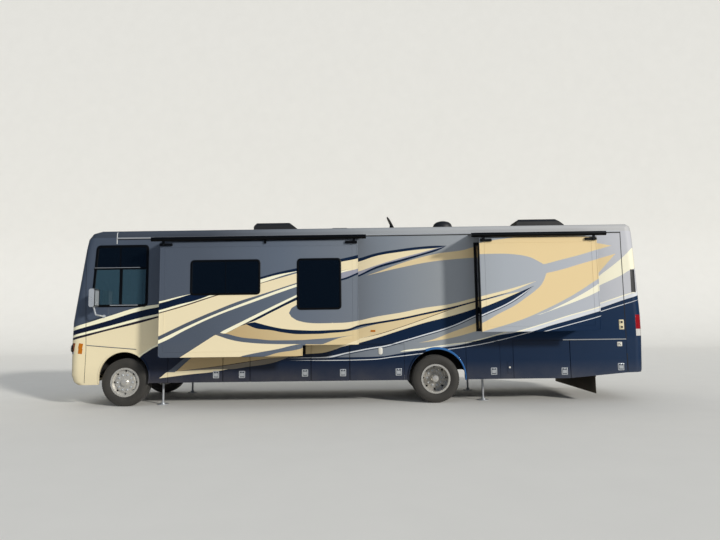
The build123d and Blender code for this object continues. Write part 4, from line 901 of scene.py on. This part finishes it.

# Slide rooms: raised bead and mitre lines of the moulded fascia, in the body's paint; a rubber wiper seal
# behind the fascia, and a flat black flange on the wall that the fascia covers when the room is in. The
# flange's black band also stands for the shade on the room's side next to it: partly painted shade.
fascia = dict(
    inset=0.105, bead=[(-0.097, -0.002), (-0.100, 0.0035), (-0.110, 0.0035), (-0.113, -0.002)],
    edge=[(0.0, -0.02), (0.0005, 0.001), (-0.004, 0.0045), (-0.016, 0.0045), (-0.020, -0.002)],
    seal=[(-0.030, -0.044), (-0.030, -0.030), (-0.012, -0.024), (-0.008, -0.044)],
    flange=[(-0.004, -0.001), (-0.005, 0.003), (-0.0570, 0.003), (-0.0580, -0.001)],
    mitreHalf=0.003, mitreY=(-0.002, 0.002), mitreStart=0.12,
    # name, side, outline and the corners that show a mitre line
    rooms=[("front", driver, [(-3.795, 1.020), (-0.977, 1.020), (-0.977, 1.230), (0.120, 1.230), (0.120, 3.290),
                              (-3.795, 3.290)], [(-3.795, 3.290), (0.120, 3.290)]),
           ("rear", driver, box2(2.520, 4.830, 1.440, 3.290),
            [(2.520, 3.290), (4.830, 3.290), (2.520, 1.440), (4.830, 1.440)]),
           ("right", kerb, box2(2.520, 4.830, 1.440, 3.290), [(2.520, 3.290), (4.830, 3.290)])])


def mitreShell(corner, outline, side):
    f, corner = fascia, Vector(corner)
    inward = [1 if corner[i] < max(p[i] for p in outline) else -1 for i in (0, 1)]
    end = corner + Vector(inward) * f["inset"]
    start = corner.lerp(end, f["mitreStart"])
    off = Vector((corner.y - end.y, end.x - corner.x)).normalized() * f["mitreHalf"]
    verts = [(p.x, side * (body["slideY"] + proud), p.y) for proud in f["mitreY"]
             for p in (start - off, start + off, end + off, end - off)]
    return verts, [(0, 1, 2, 3), (4, 5, 6, 7), (0, 1, 5, 4), (1, 2, 6, 5), (2, 3, 7, 6), (3, 0, 4, 7)]


def addFascias():
    f = fascia
    for name, side, corners, mitred in f["rooms"]:
        outline, room = [Vector(p) for p in corners], name + "_slide"
        shells = [ringShell(outline, f[section], side, body["slideY"]) for section in ("bead", "edge")]
        shells += [mitreShell(corner, outline, side) for corner in mitred]
        piece(name + "_slide_beads", shells, "bodyPaint", room)
        piece(name + "_slide_seal", [ringShell(outline, f["seal"], side, body["slideY"])], "gasket", room)
        piece(name + "_opening_flange", [ringShell(outline, f["flange"], side, body["wallY"])], "gasket")


addFascias()
print("slide fascias done")

# Body rails, seams and mouldings on both sides: sections are (Y, Z), lines are (X, Z).
# Bars are (group, section, ends) and strips are (group, line, width, proud).
mouldings = dict(
    gutter=[(1.2885, 3.464), (1.3005, 3.464), (1.3035, 3.470), (1.3015, 3.489), (1.2885, 3.496)],
    # shade: a dark bar under the gutter, a painted shadow line
    shade=[(1.2885, 3.448), (1.2965, 3.448), (1.2965, 3.4635), (1.2885, 3.4635)],
    # belt: a satin moulding over the rear doors; its light colour partly stands for the lit top of the ridge, a
    # painted highlight
    belt=[(1.2885, 1.240), (1.2980, 1.243), (1.2995, 1.256), (1.2885, 1.262)],
    gutterEnds=(-4.925, 5.570), beltEnds=(4.286, 5.575),
    nose=[(-5.50, 1.255), (-5.016, 1.209), (-4.74, 1.185), (-4.47, 1.160)],
    # the second nose line: a light strip along the top of the crease, a painted highlight
    noseBright=[(-5.50, 1.264), (-5.016, 1.218), (-4.74, 1.194), (-4.47, 1.169)],
    brow=[(-4.935, 3.36), (-4.935, 3.636)], rearGap=[(5.581, 0.60), (5.581, 3.470)],
    frontSeam=[(-5.595, 3.455), (-5.553, 2.31), (-5.511, 1.164), (-5.525, 0.49)],
    bars=[("bright", "gutter", "gutterEnds"), ("dark", "shade", "gutterEnds"), ("belt", "belt", "beltEnds")],
    strips=[("dark", "nose", 0.010, 0.002), ("bright", "noseBright", 0.007, 0.003), ("white", "brow", 0.016, 0.002),
            ("dark", "frontSeam", 0.009, 0.001), ("dark", "rearGap", 0.016, 0.001)])


def addMouldings():
    m = mouldings
    groups = dict(bright=[], dark=[], white=[], belt=[])
    for word, side in sides.items():
        for group, section, ends in m["bars"]:
            groups[group].append(barShell(m[section], *m[ends], side))
        for group, line, width, proud in m["strips"]:
            groups[group].append(stripShell(m[line], width, word, proud))
    # light strips: the real gutter rails and the nose crease's painted highlight
    piece("gutter_rails_and_nose_highlight", groups["bright"], "satinAluminium")
    # dark strips: real seams and gaps, the nose crease line and the gutter's painted shadow line
    piece("body_seams_and_shadow_line", groups["dark"], "gasket")
    piece("brow_sealant", groups["white"], "sealant")
    piece("rear_belt_moulding", groups["belt"], "satinAluminium")


addMouldings()

# Wheel arches: cream lip in front, blue flare at the rear, in the body's paint. Angles go up from the tail
# side of the wheel. From the start up to the turn angle the rear flare is a lighter blue, a painted sky reflection.
arches = dict(
    front=dict(x=-4.72, z=0.595, r=0.520, start=-13, end=193,
               section=[(-0.004, -0.020), (-0.002, 0.006), (0.004, 0.010), (0.015, 0.007), (0.024, -0.002)]),
    rear=dict(x=1.70, z=0.520, r=0.576, start=-5, reflectionEnd=112, end=185,
              section=[(-0.004, -0.020), (-0.004, 0.018), (0.000, 0.026), (0.006, 0.028), (0.012, 0.022),
                       (0.018, 0.010), (0.0205, -0.002)]))


def addArches():
    plain, blue = [], []
    for side in sides.values():
        for a in arches.values():
            place, turn = (a["x"], a["z"], a["r"]), a.get("reflectionEnd", a["start"])
            plain.append(arcShell(*place, turn, a["end"], a["section"], side, body["wallY"]))
            if "reflectionEnd" in a:
                # the rear flare's tail side and top: painted sky reflection in a lighter blue
                blue.append(arcShell(*place, a["start"], turn, a["section"], side, body["wallY"]))
    piece("wheel_arch_lips", plain, "bodyPaint")
    piece("rear_arch_flare_reflections", blue, "flareSkyReflection")


addArches()
print("mouldings and arches done")

# storage doors: square chromed latches, each a plate with a cup, a raised paddle and a round lock above it
latches = dict(
    half=(0.0625, 0.0725), radius=0.014, paddle=(0.040, -0.040, 0.030), paddleProud=0.009, paddleEdge=0.003,
    cup=[(0.0, -0.001), (0.0, 0.003), (-0.004, 0.005), (-0.012, 0.005), (-0.016, 0.001), (-0.020, -0.0005)],
    lock=[(0.011, 0), (0.011, 0.006), (0.008, 0.008), (0.0005, 0.008)], lockUp=0.050,
    left=[(-2.819, 0.631), (-2.286, 0.628), (-0.996, 0.643), (-0.219, 0.640), (0.918, 0.641), (2.859, 0.634),
          (4.294, 0.617), (5.440, 0.693)], right=[(-2.25, 0.64), (-0.18, 0.64), (3.36, 0.64)])


def addLatches():
    l, wall = latches, body["wallY"]
    half, low, high = l["paddle"]
    for word, side in sides.items():
        for n, (x, z) in enumerate(l[word], 1):
            door = f"{word}_bay_door_{n}"
            piece(f"{door}_latch", [
                plateShell(around(x, z, *l["half"]), l["radius"], l["cup"], side, wall),
                wallBox(x - half, x + half, z + low, z + high, side, wall, wall + l["paddleProud"], l["paddleEdge"]),
                latheShell(l["lock"], x, z + l["lockUp"], side, wall, 16)], "castZinc", door)


addLatches()

# Small fittings on the coach. Plates are (x0, x1, z0, z1), corner radius, section, proud of the wall and
# steps in a corner; the kerb side has only the markers, grooves, vents and caps.
fittings = dict(
    flat=[(0.0, -0.002), (0.0, 0.003), (-0.003, 0.006), (-0.006, 0.006)],
    domed=[(0.0, -0.002), (0.0, 0.006), (-0.010, 0.013), (-0.026, 0.016)],
    lid=[(0, 0), (0, 0.006), (-0.004, 0.010)], socket=[(0, 0), (0, 0.003)],
    hatch=[(0.006, -0.002), (0.006, 0.003), (-0.004, 0.004), (-0.004, 0.001), (-0.007, 0.001), (-0.008, 0.004),
           (-0.012, 0.004)],
    plates=dict(
        side_lamps=("whitePlastic", [((5.387, 5.487, 1.106, 1.196), 0.015, "domed", 0, 3),
                                     ((0.5105, 0.5955, 0.9975, 1.1425), 0.042, "domed", 0, 6),
                                     ((3.165, 3.202, 0.690, 0.725), 0.006, "flat", 0.004, 3)]),
        outlet_covers=("creamPlastic", [((5.450, 5.550, 1.447, 1.647), 0.012, "flat", 0, 3),
                                        ((5.463, 5.537, 1.461, 1.533), 0.018, "lid", 0.005, 4),
                                        ((5.463, 5.537, 1.561, 1.633), 0.018, "lid", 0.005, 4)]),
        outlet_sockets=("shroudAbs", [((5.478, 5.522, 1.477, 1.517), 0.008, "socket", 0.0152, 3),
                                      ((5.478, 5.522, 1.577, 1.617), 0.008, "socket", 0.0152, 3)]),
        service_flap=("bodyPaint", [((3.135, 3.232, 0.585, 0.825), 0.014, "hatch", 0, 3)])),
    mark=([(5.035, 1.452), (5.085, 1.522)], 0.016, 0.002), marker=(0.356, 0.456, 1.459, 1.499), markerRadius=0.012,
    corners=[[(-5.635, 1.085), (-5.625, 1.190)], [(-5.635, 1.190), (-5.617, 1.297)]], cornerStrip=(0.09, 0.003, 6),
    grooves=[[(4.90, 1.65), (5.57, 1.65)], [(4.90, 1.49), (5.57, 1.49)]], grooveStrip=(0.006, 0.0012),
    vent=[(5.797, 2.208), (5.797, 2.680)], ventStrip=(0.110, 0.003, 10),
    cap=[(5.752, 2.190), (5.842, 2.190)], capStrip=(0.022, 0.004, 4))


def addFittings():
    f, wall = fittings, body["wallY"]
    for name, (look, plates) in f["plates"].items():
        shells = [plateShell(box, radius, f[section], driver, wall + proud, steps)
                  for box, radius, section, proud, steps in plates]
        if name == "side_lamps":  # with the small slanted white mark
            line, width, proud = f["mark"]
            shells.append(stripShell(line, width, "left", proud))
        piece(name, shells, look)
    amber = [plateShell(f["marker"], f["markerRadius"], f["flat"], side, wall) for side in sides.values()]
    width, proud, across = f["cornerStrip"]
    amber += [stripShell(line, width, word, proud, across=across) for word in sides for line in f["corners"]]
    piece("marker_lamps", amber, "amberLens")
    piece("wall_grooves", [stripShell(line, f["grooveStrip"][0], word, f["grooveStrip"][1])
                           for line in f["grooves"] for word in sides], "bodyPaint")
    for name, key, look in (("rear_corner_vents", "vent", "shroudAbs"), ("rear_corner_caps", "cap", "whitePlastic")):
        width, proud, across = f[key + "Strip"]
        piece(name, [stripShell(f[key], width, word, proud, across=across) for word in sides], look)


addFittings()
print("latches and fittings done")

# Nose and tail: windscreen rubber and wipers, headlamp panels and bowls, blank plate, engine hatch lines,
# brow markers. Lines are (Y, Z).
ends = dict(
    glassEdge=[(-1.10, 1.95), (1.10, 1.95), (1.06, 3.31), (-1.06, 3.31), (-1.10, 1.95)], glassEdgeWide=0.045,
    glassBar=[(0, 1.96), (0, 3.30)], glassBarWide=0.030, rubberProud=0.004,
    # each wiper is an arm and a blade
    wipers=[([(0.16, 1.90), (0.20, 1.99), (0.62, 2.05), (0.98, 2.03)], [(0.24, 2.035), (0.98, 2.030)]),
            ([(-0.95, 1.90), (-0.90, 1.99), (-0.48, 2.05), (-0.12, 2.03)], [(-0.86, 2.035), (-0.12, 2.030)])],
    armProud=0.022, armRadius=0.008, bladeWide=0.014, bladeProud=0.012,
    # strips are (width, proud, points across)
    hatch=[(-0.86, 0.98), (0.86, 0.98), (0.86, 1.92), (-0.86, 1.92), (-0.86, 0.98)], hatchStrip=(0.010, 0.001, 2),
    plate=[(-0.155, 0.86), (0.155, 0.86)], plateStrip=(0.150, 0.005, 6),
    markers=[-0.9, -0.18, 0.0, 0.18, 0.9], markerHalf=0.035, markerZ=3.42, markerWide=0.030, markerProud=0.012,
    lampEdge=[(0.835, 1.093), (1.215, 1.093), (1.215, 1.286), (0.835, 1.286), (0.835, 1.093)],
    lampEdgeStrip=(0.018, 0.005, 2), lampPanel=[(0.845, 1.190), (1.200, 1.190)], lampPanelStrip=(0.190, 0.003, 10),
    bowls=[(0.935, 1.190), (1.105, 1.190)], bowlSteps=40,
    bowl=[(0.082, -0.004), (0.082, 0.006), (0.077, 0.010), (0.071, 0.008), (0.068, 0.002), (0.050, 0.004),
          (0.030, 0.0085), (0.0005, 0.0100)])


def bowlShell(u, v, profile):
    x = skinPoint(u, v, "front", 0)[0]
    return spinShell(profile, lambda r, h, a: (x - h, u + r * math.cos(a), v + r * math.sin(a)), ends["bowlSteps"])


def addEnds():
    e = ends
    piece("windscreen_rubber", [stripShell(e["glassEdge"], e["glassEdgeWide"], "front", e["rubberProud"]),
                                stripShell(e["glassBar"], e["glassBarWide"], "front", e["rubberProud"])], "gasket")
    wipers = []
    for arm, blade in e["wipers"]:
        wipers.append(tubeShell([skinPoint(u, v, "front", e["armProud"]) for u, v in arm], e["armRadius"]))
        wipers.append(stripShell(blade, e["bladeWide"], "front", e["bladeProud"]))
    piece("wiper_arms", wipers, "paintedSteel")
    bezels = []
    for key in ("lampEdge", "lampPanel"):
        width, proud, across = e[key + "Strip"]
        bezels += [stripShell([(u * side, v) for u, v in e[key]], width, "front", proud, across=across)
                   for side in sides.values()]
    piece("headlamp_bezels", bezels, "shroudAbs")
    bowls = [bowlShell(u * side, v, e["bowl"]) for u, v in e["bowls"] for side in sides.values()]
    piece("headlamp_bowls", bowls, "rim")
    for name, key, look in (("engine_hatch_seam", "hatch", "gasket"), ("blank_plate", "plate", "whitePlastic")):
        width, proud, across = e[key + "Strip"]
        piece(name, [stripShell(e[key], width, "rear", proud, across=across)], look)
    for name, face, look in (("brow_markers", "front", "amberLens"), ("tail_markers", "rear", "redLens")):
        lines = [[(u - e["markerHalf"], e["markerZ"]), (u + e["markerHalf"], e["markerZ"])] for u in e["markers"]]
        piece(name, [stripShell(line, e["markerWide"], face, e["markerProud"]) for line in lines], look)


addEnds()

# mirrors: glass set in a black rim on the back of each head
mirror = dict(x=-5.180, y=(1.485, 1.685), z=(2.045, 2.392), rim=(-0.030, 0.010), rimHigh=0.022, rimWide=0.018,
              rimEdge=0.004, pane=(-0.002, 0.003), paneInset=(0.015, 0.018), paneEdge=0.001)


def addMirrors():
    m = mirror
    (y0, y1), (z0, z1), (insetY, insetZ) = m["y"], m["z"], m["paneInset"]
    rims, panes = [], []
    for side in sides.values():
        for inner, outer, low, high in ((y0, y1, z0, z0 + m["rimHigh"]), (y0, y1, z1 - m["rimHigh"], z1),
                                        (y0, y0 + m["rimWide"], z0, z1), (y1 - m["rimWide"], y1, z0, z1)):
            rims.append(wallBox(*[m["x"] + out for out in m["rim"]], low, high, side, inner, outer, m["rimEdge"]))
        panes.append(wallBox(*[m["x"] + out for out in m["pane"]], z0 + insetZ, z1 - insetZ, side, y0 + insetY,
                             y1 - insetY, m["paneEdge"]))
    piece("mirror_rims", rims, "mouldedAbs")
    piece("mirror_panes", panes, "castZinc")


addMirrors()

# entry door on the far side: window, frame, pull and lock; the grip's points are (proud of the wall, Z)
entry = dict(pane=(-3.76, -3.36, 1.90, 2.48), radius=0.05, glass=[(0.0, -0.001), (-0.004, 0.003)], gripX=-3.32,
             grip=[(-0.002, 1.30), (0.030, 1.32), (0.038, 1.35), (0.038, 1.57), (0.030, 1.60), (-0.002, 1.62)],
             gripRadius=0.011, lock=(-3.380, -3.290, 1.12, 1.24), lockRadius=0.02,
             lockSection=[(0, -0.002), (0, 0.008), (-0.008, 0.014)])


def addEntry():
    e, wall = entry, body["wallY"]
    piece("entry_door_pane", [plateShell(e["pane"], e["radius"], e["glass"], kerb, wall, 5)], "glass", "entry_door")
    rim = ringShell(roundOutline(box2(*e["pane"]), e["radius"]), windows["section"], kerb, wall)
    piece("entry_door_frame", [rim], "anodised", "entry_door")
    grip = tubeShell([(e["gripX"], wall + proud, z) for proud, z in e["grip"]], e["gripRadius"], 12)
    lock = plateShell(e["lock"], e["lockRadius"], e["lockSection"], kerb, wall, 4)
    piece("entry_door_pull", [grip, lock], "castZinc", "entry_door")


addEntry()
print("ends, mirrors and entry door done")

# Wheels: carcass, five rows of tread blocks, ten nuts a wheel; twin tyres at the rear. The half section and
# the nut's rings are (radius, Y), tread rows are Y from the tyre's middle; the outer rows are shoulders.
wheels = dict(
    axleZ=0.487, tyreR=0.487, grooveR=0.4775, blocks=60, blockShare=0.84, blockSink=0.003, skew=0.004,
    crown=0.0002, shoulderDrop=0.0035, shoulderSink=0.006, nuts=10, nutR=0.155,
    ends=dict(front=dict(x=-4.72, middles=[1.103], seat=1.203, plural=""),
              rear=dict(x=1.68, middles=[1.103, 0.803], seat=0.993, plural="s")),
    half=[(0.2875, 0.112), (0.300, 0.1135), (0.306, 0.110), (0.318, 0.1165), (0.345, 0.1235), (0.372, 0.1265),
          (0.378, 0.1275), (0.400, 0.1272), (0.425, 0.1245), (0.430, 0.1225), (0.450, 0.1170), (0.463, 0.1125),
          (0.472, 0.1070), (0.4775, 0.0980)],
    rows=[(-0.102, -0.070), (-0.061, -0.026), (-0.018, 0.018), (0.026, 0.061), (0.070, 0.102)],
    nut=[(6, [(0.0165, -0.001), (0.0165, 0.014), (0.0150, 0.0165)]),
         (20, [(0.0205, -0.001), (0.0205, 0.003), (0.0165, 0.004)]),
         (16, [(0.0150, 0.0165), (0.0105, 0.019), (0.0100, 0.026), (0.0060, 0.030), (0.0004, 0.031)])])


# a tread block from radius r0 to r1, its top edge chamfered by 1.5 mm and its ends skewed
def blockShell(x, z, y0, y1, a0, a1, r0, r1, skew):
    verts, middleY, middleA = [], (y0 + y1) / 2, (a0 + a1) / 2
    for r, shrink in ((r0, 0.0), (r1 - 0.0015, 0.0), (r1, 0.06)):
        for y, a in ((y0, a0), (y1, a0), (y1, a1), (y0, a1)):
            angle = middleA + (a - middleA) * (1 - shrink) + (skew if y == y1 else -skew)
            verts.append((x + r * math.cos(angle), middleY + (y - middleY) * (1 - shrink), z + r * math.sin(angle)))
    faces = [(k + i, k + (i + 1) % 4, k + 4 + (i + 1) % 4, k + 4 + i) for k in (0, 4) for i in range(4)]
    return verts, faces + [(8, 9, 10, 11)]


def addWheel(end, word, side):
    w, e = wheels, wheels["ends"][end]
    x, z, step = e["x"], w["axleZ"], 2 * math.pi / w["blocks"]
    node, bodyName = f"{end}_{word}_tyre{e['plural']}", f"{end}_{word}_wheel{e['plural']}"
    profile = w["half"] + [(r, -y) for r, y in w["half"][::-1]]
    carcass = [latheShell(profile, x, z, side, middle, 96, closed=True) for middle in e["middles"]]
    blocks = []
    for middle in e["middles"]:
        for n, (y0, y1) in enumerate(w["rows"]):
            lead, shoulder = step * (0.5 if n % 2 else 0.0), n in (0, len(w["rows"]) - 1)
            low = w["grooveR"] - w["blockSink"] - (w["shoulderSink"] if shoulder else 0)
            high = w["tyreR"] - (w["shoulderDrop"] if shoulder else w["crown"])
            blocks.append(blockShell(x, z, side * (middle + y0), side * (middle + y1), lead,
                                     lead + step * w["blockShare"], low, high,
                                     side * (w["skew"] if n % 2 else -w["skew"])))
    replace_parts(piece(node + "_carcass", carcass, "rubber", bodyName), node)
    tread = grow(node + "_tread", blocks, turned, "rubber", count=w["blocks"], centre=(x, 0, z), step=step)
    piece(node + "_tread", tread, "rubber", bodyName)
    nut = [latheShell(ring, x + w["nutR"], z, side, e["seat"], steps) for steps, ring in w["nut"]]
    ring = grow(node + "_nuts", nut, turned, "castZinc", count=w["nuts"], centre=(x, 0, z),
                step=2 * math.pi / w["nuts"])
    piece(f"{end}_{word}_wheel_nuts", ring, "castZinc", bodyName)


for end in wheels["ends"]:
    for word, side in sides.items():
        addWheel(end, word, side)
print("tyres, tread and nuts done")

# Slide toppers: cloth held stretched from the wall's rail to the roller, sagging a few millimetres, over arms
# that ride the room.
toppers = dict(
    wall=(1.2905, 3.4405), roller=(1.932, 3.3853), thick=0.0015, sag=0.006, ripple=0.35, rows=12, columns=72,
    keep=0.144, armZ=(3.212, 3.262), armY=(1.888, 1.930), armEdge=0.006,
    hook=(0.02, 0.05, 0.012), hookProud=0.004, hookEdge=0.004, clip=(-1.730, -1.686, 3.235, 3.300),
    # name, side, the cloth's ends and the arms' ends
    rooms=[("front", driver, (-3.900, 0.225), [(-3.80, -3.55), (-0.13, 0.11)]),
           ("rear", driver, (2.415, 4.935), [(2.53, 2.76), (4.59, 4.82)]),
           ("right", kerb, (2.415, 4.935), [(2.53, 2.76), (4.59, 4.82)])])


def addTopperArms():
    t = toppers
    (inner, outer), (z0, z1), (hook0, hook1, short) = t["armY"], t["armZ"], t["hook"]
    for name, side, _, spans in t["rooms"]:
        shells = [wallBox(x0, x1, z0, z1, side, inner, outer, t["armEdge"]) for x0, x1 in spans]
        shells += [wallBox(x0 + hook0, x0 + hook1, z0 + short, z1 - short, side, inner - t["hookProud"],
                           outer + t["hookProud"], t["hookEdge"]) for x0, _ in spans]
        if name == "front":
            shells.append(wallBox(*t["clip"], side, inner, outer, t["armEdge"]))
        piece(name + "_topper_arms", shells, "anodised", name + "_slide", "awning_roller")


def clothShell(x0, x1, side):
    t = toppers
    (y0, z0), (y1, z1), rows, columns = t["wall"], t["roller"], t["rows"], t["columns"]
    verts, faces = [], []
    for lift in (0.0, t["thick"]):
        for i in range(columns + 1):
            x, ripple = x0 + (x1 - x0) * i / columns, 1 + t["ripple"] * math.sin(i * 0.9) * math.sin(i * 0.37 + 1)
            for k in range(rows + 1):
                s = k / rows
                sag = t["sag"] * 4 * s * (1 - s) * ripple
                verts.append((x, side * (y0 + (y1 - y0) * s), z0 + (z1 - z0) * s + lift - sag))
    n, layer = rows + 1, (rows + 1) * (columns + 1)
    for i in range(columns):
        for k in range(rows):
            a = i * n + k
            faces += [(a, a + 1, a + n + 1, a + n), (layer + a, layer + a + n, layer + a + n + 1, layer + a + 1)]
    rim = [i * n for i in range(columns + 1)] + [columns * n + k for k in range(1, n)]
    rim += [i * n + n - 1 for i in range(columns - 1, -1, -1)] + list(range(n - 2, 0, -1))
    return verts, faces + [(a, b, layer + b, layer + a) for a, b in zip(rim, rim[1:] + rim[:1])]


def addToppers():
    t = toppers
    for name, side, (x0, x1), _ in t["rooms"]:
        cloth = piece(name + "_topper_cloth", [clothShell(x0, x1, side)], "cloth")
        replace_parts(cloth, name + "_awning_sheet")
        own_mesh(cloth)


addTopperArms()
addToppers()
print("toppers done")

# roof: louvres in the air conditioners' flanks
louvres = dict(shrouds=[(-2.256, -1.271), (3.706, 4.776)], y=(0.368, 0.377), z=(3.735, 3.795), count=14, share=0.55,
               start=0.12, spare=0.30)


def addLouvres():
    l = louvres
    for n, (x0, x1) in enumerate(l["shrouds"], 1):
        step, start = (x1 - x0 - l["spare"]) / l["count"], x0 + l["start"]
        shells = [wallBox(start, start + step * l["share"], *l["z"], side, *l["y"]) for side in sides.values()]
        slats = grow(f"louvres_{n}", shells, row, "mouldedAbs", count=l["count"], step=(step, 0, 0))
        piece(f"air_conditioner_{n}_louvres", slats, "mouldedAbs")


addLouvres()
print("louvres done")

# satellite dome: taller cover over the low base, as the photo shows it above the roof line
dome = dict(x=2.08, steps=48,
            profile=[(0.245, 3.690), (0.248, 3.716), (0.232, 3.724), (0.230, 3.800), (0.222, 3.860),
                     (0.196, 3.915), (0.150, 3.952), (0.090, 3.972), (0.030, 3.979), (0.0005, 3.980)])


def addDome():
    d = dome
    verts, faces = spinShell(d["profile"], lambda r, h, a: (d["x"] + r * math.cos(a), r * math.sin(a), h), d["steps"])
    foot = tuple(k * len(d["profile"]) for k in range(d["steps"]))
    piece("satellite_dome", [(verts, faces + [foot])], "shroudAbs")


addDome()

# Cab seats: foam cushions blown up by a short cloth run, on a steel pedestal with padded arms. The back
# leans by its share of the height above leanZ.
seats = dict(y=0.83, voxel=0.010, pressure=4.0, cap=0.024, frames=20, edge=0.030, fill=0.8,
             pedestal=((-4.79, -0.14, 1.162), (-4.43, 0.14, 1.375)), pedestalEdge=0.02,
             foot=((-4.82, -0.17, 1.162), (-4.40, 0.17, 1.174)), footEdge=0.004,
             cushion=((-4.885, -0.240, 1.392), (-4.350, 0.240, 1.492)),
             back=((-4.428, -0.232, 1.530), (-4.322, 0.232, 2.190)), lean=0.147, leanZ=1.48,
             arm=[(-4.70, 1.686), (-4.65, 1.690), (-4.34, 1.690), (-4.31, 1.680)], armY=0.242, armRadius=0.020)


def inflate(name, shells):
    s, scene = seats, bpy.context.scene
    obj = bpy.data.objects.new(name, meshFrom(name, shells))
    scene.collection.objects.link(obj)
    remesh = obj.modifiers.new("remesh", "REMESH")
    remesh.mode, remesh.voxel_size = "VOXEL", s["voxel"]
    dense = settled(obj)
    obj.modifiers.clear()
    obj.data = dense
    start = [v.co.copy() for v in dense.vertices]
    cloth = obj.modifiers.new("cloth", "CLOTH").settings
    cloth.use_pressure, cloth.uniform_pressure_force = True, s["pressure"]
    cloth.effector_weights.gravity = 0
    for step in range(1, s["frames"] + 1):
        scene.frame_set(step)
    swollen = settled(obj)
    obj.modifiers.clear()
    scene.frame_set(1)
    for v, home in zip(swollen.vertices, start):
        move = v.co - home
        v.co = home + move * min(1.0, s["cap"] / max(move.length, 1e-9))
    obj.data = swollen
    smooth = obj.modifiers.new("smooth", "SUBSURF")
    smooth.levels = smooth.render_levels = 1
    done = settled(obj)
    found = [tuple(v.co) for v in done.vertices], [tuple(p.vertices) for p in done.polygons]
    bpy.data.objects.remove(obj)
    return found


def moved(shell, side, y):
    return [(vx, side * (vy + y), vz) for vx, vy, vz in shell[0]], shell[1]


def addSeats():
    s = seats
    cushion = inflate("seat cushion", [boxShell(*s["cushion"], s["edge"])])
    verts, faces = boxShell(*s["back"], s["edge"])
    back = inflate("seat back", [([(vx + (vz - s["leanZ"]) * s["lean"], vy, vz) for vx, vy, vz in verts], faces)])
    pedestals, arms = [], []
    for word, side in sides.items():
        for name, shell in (("cushion", cushion), ("back", back)):
            pad = piece(f"{word}_seat_{name}", [moved(shell, side, s["y"])], "leather", sharp=180)
        for key in ("pedestal", "foot"):
            pedestals.append(moved(boxShell(*s[key], s[key + "Edge"]), side, s["y"]))
        for across in (-s["armY"], s["armY"]):
            arm = tubeShell([(x, across, z) for x, z in s["arm"]], s["armRadius"], 12)
            arms.append(moved(arm, side, s["y"]))
    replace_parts(piece("seat_pedestals", pedestals, "paintedSteel"), "cab_seats")
    piece("seat_arms", arms, "leather")


addSeats()
print("cab seats done")
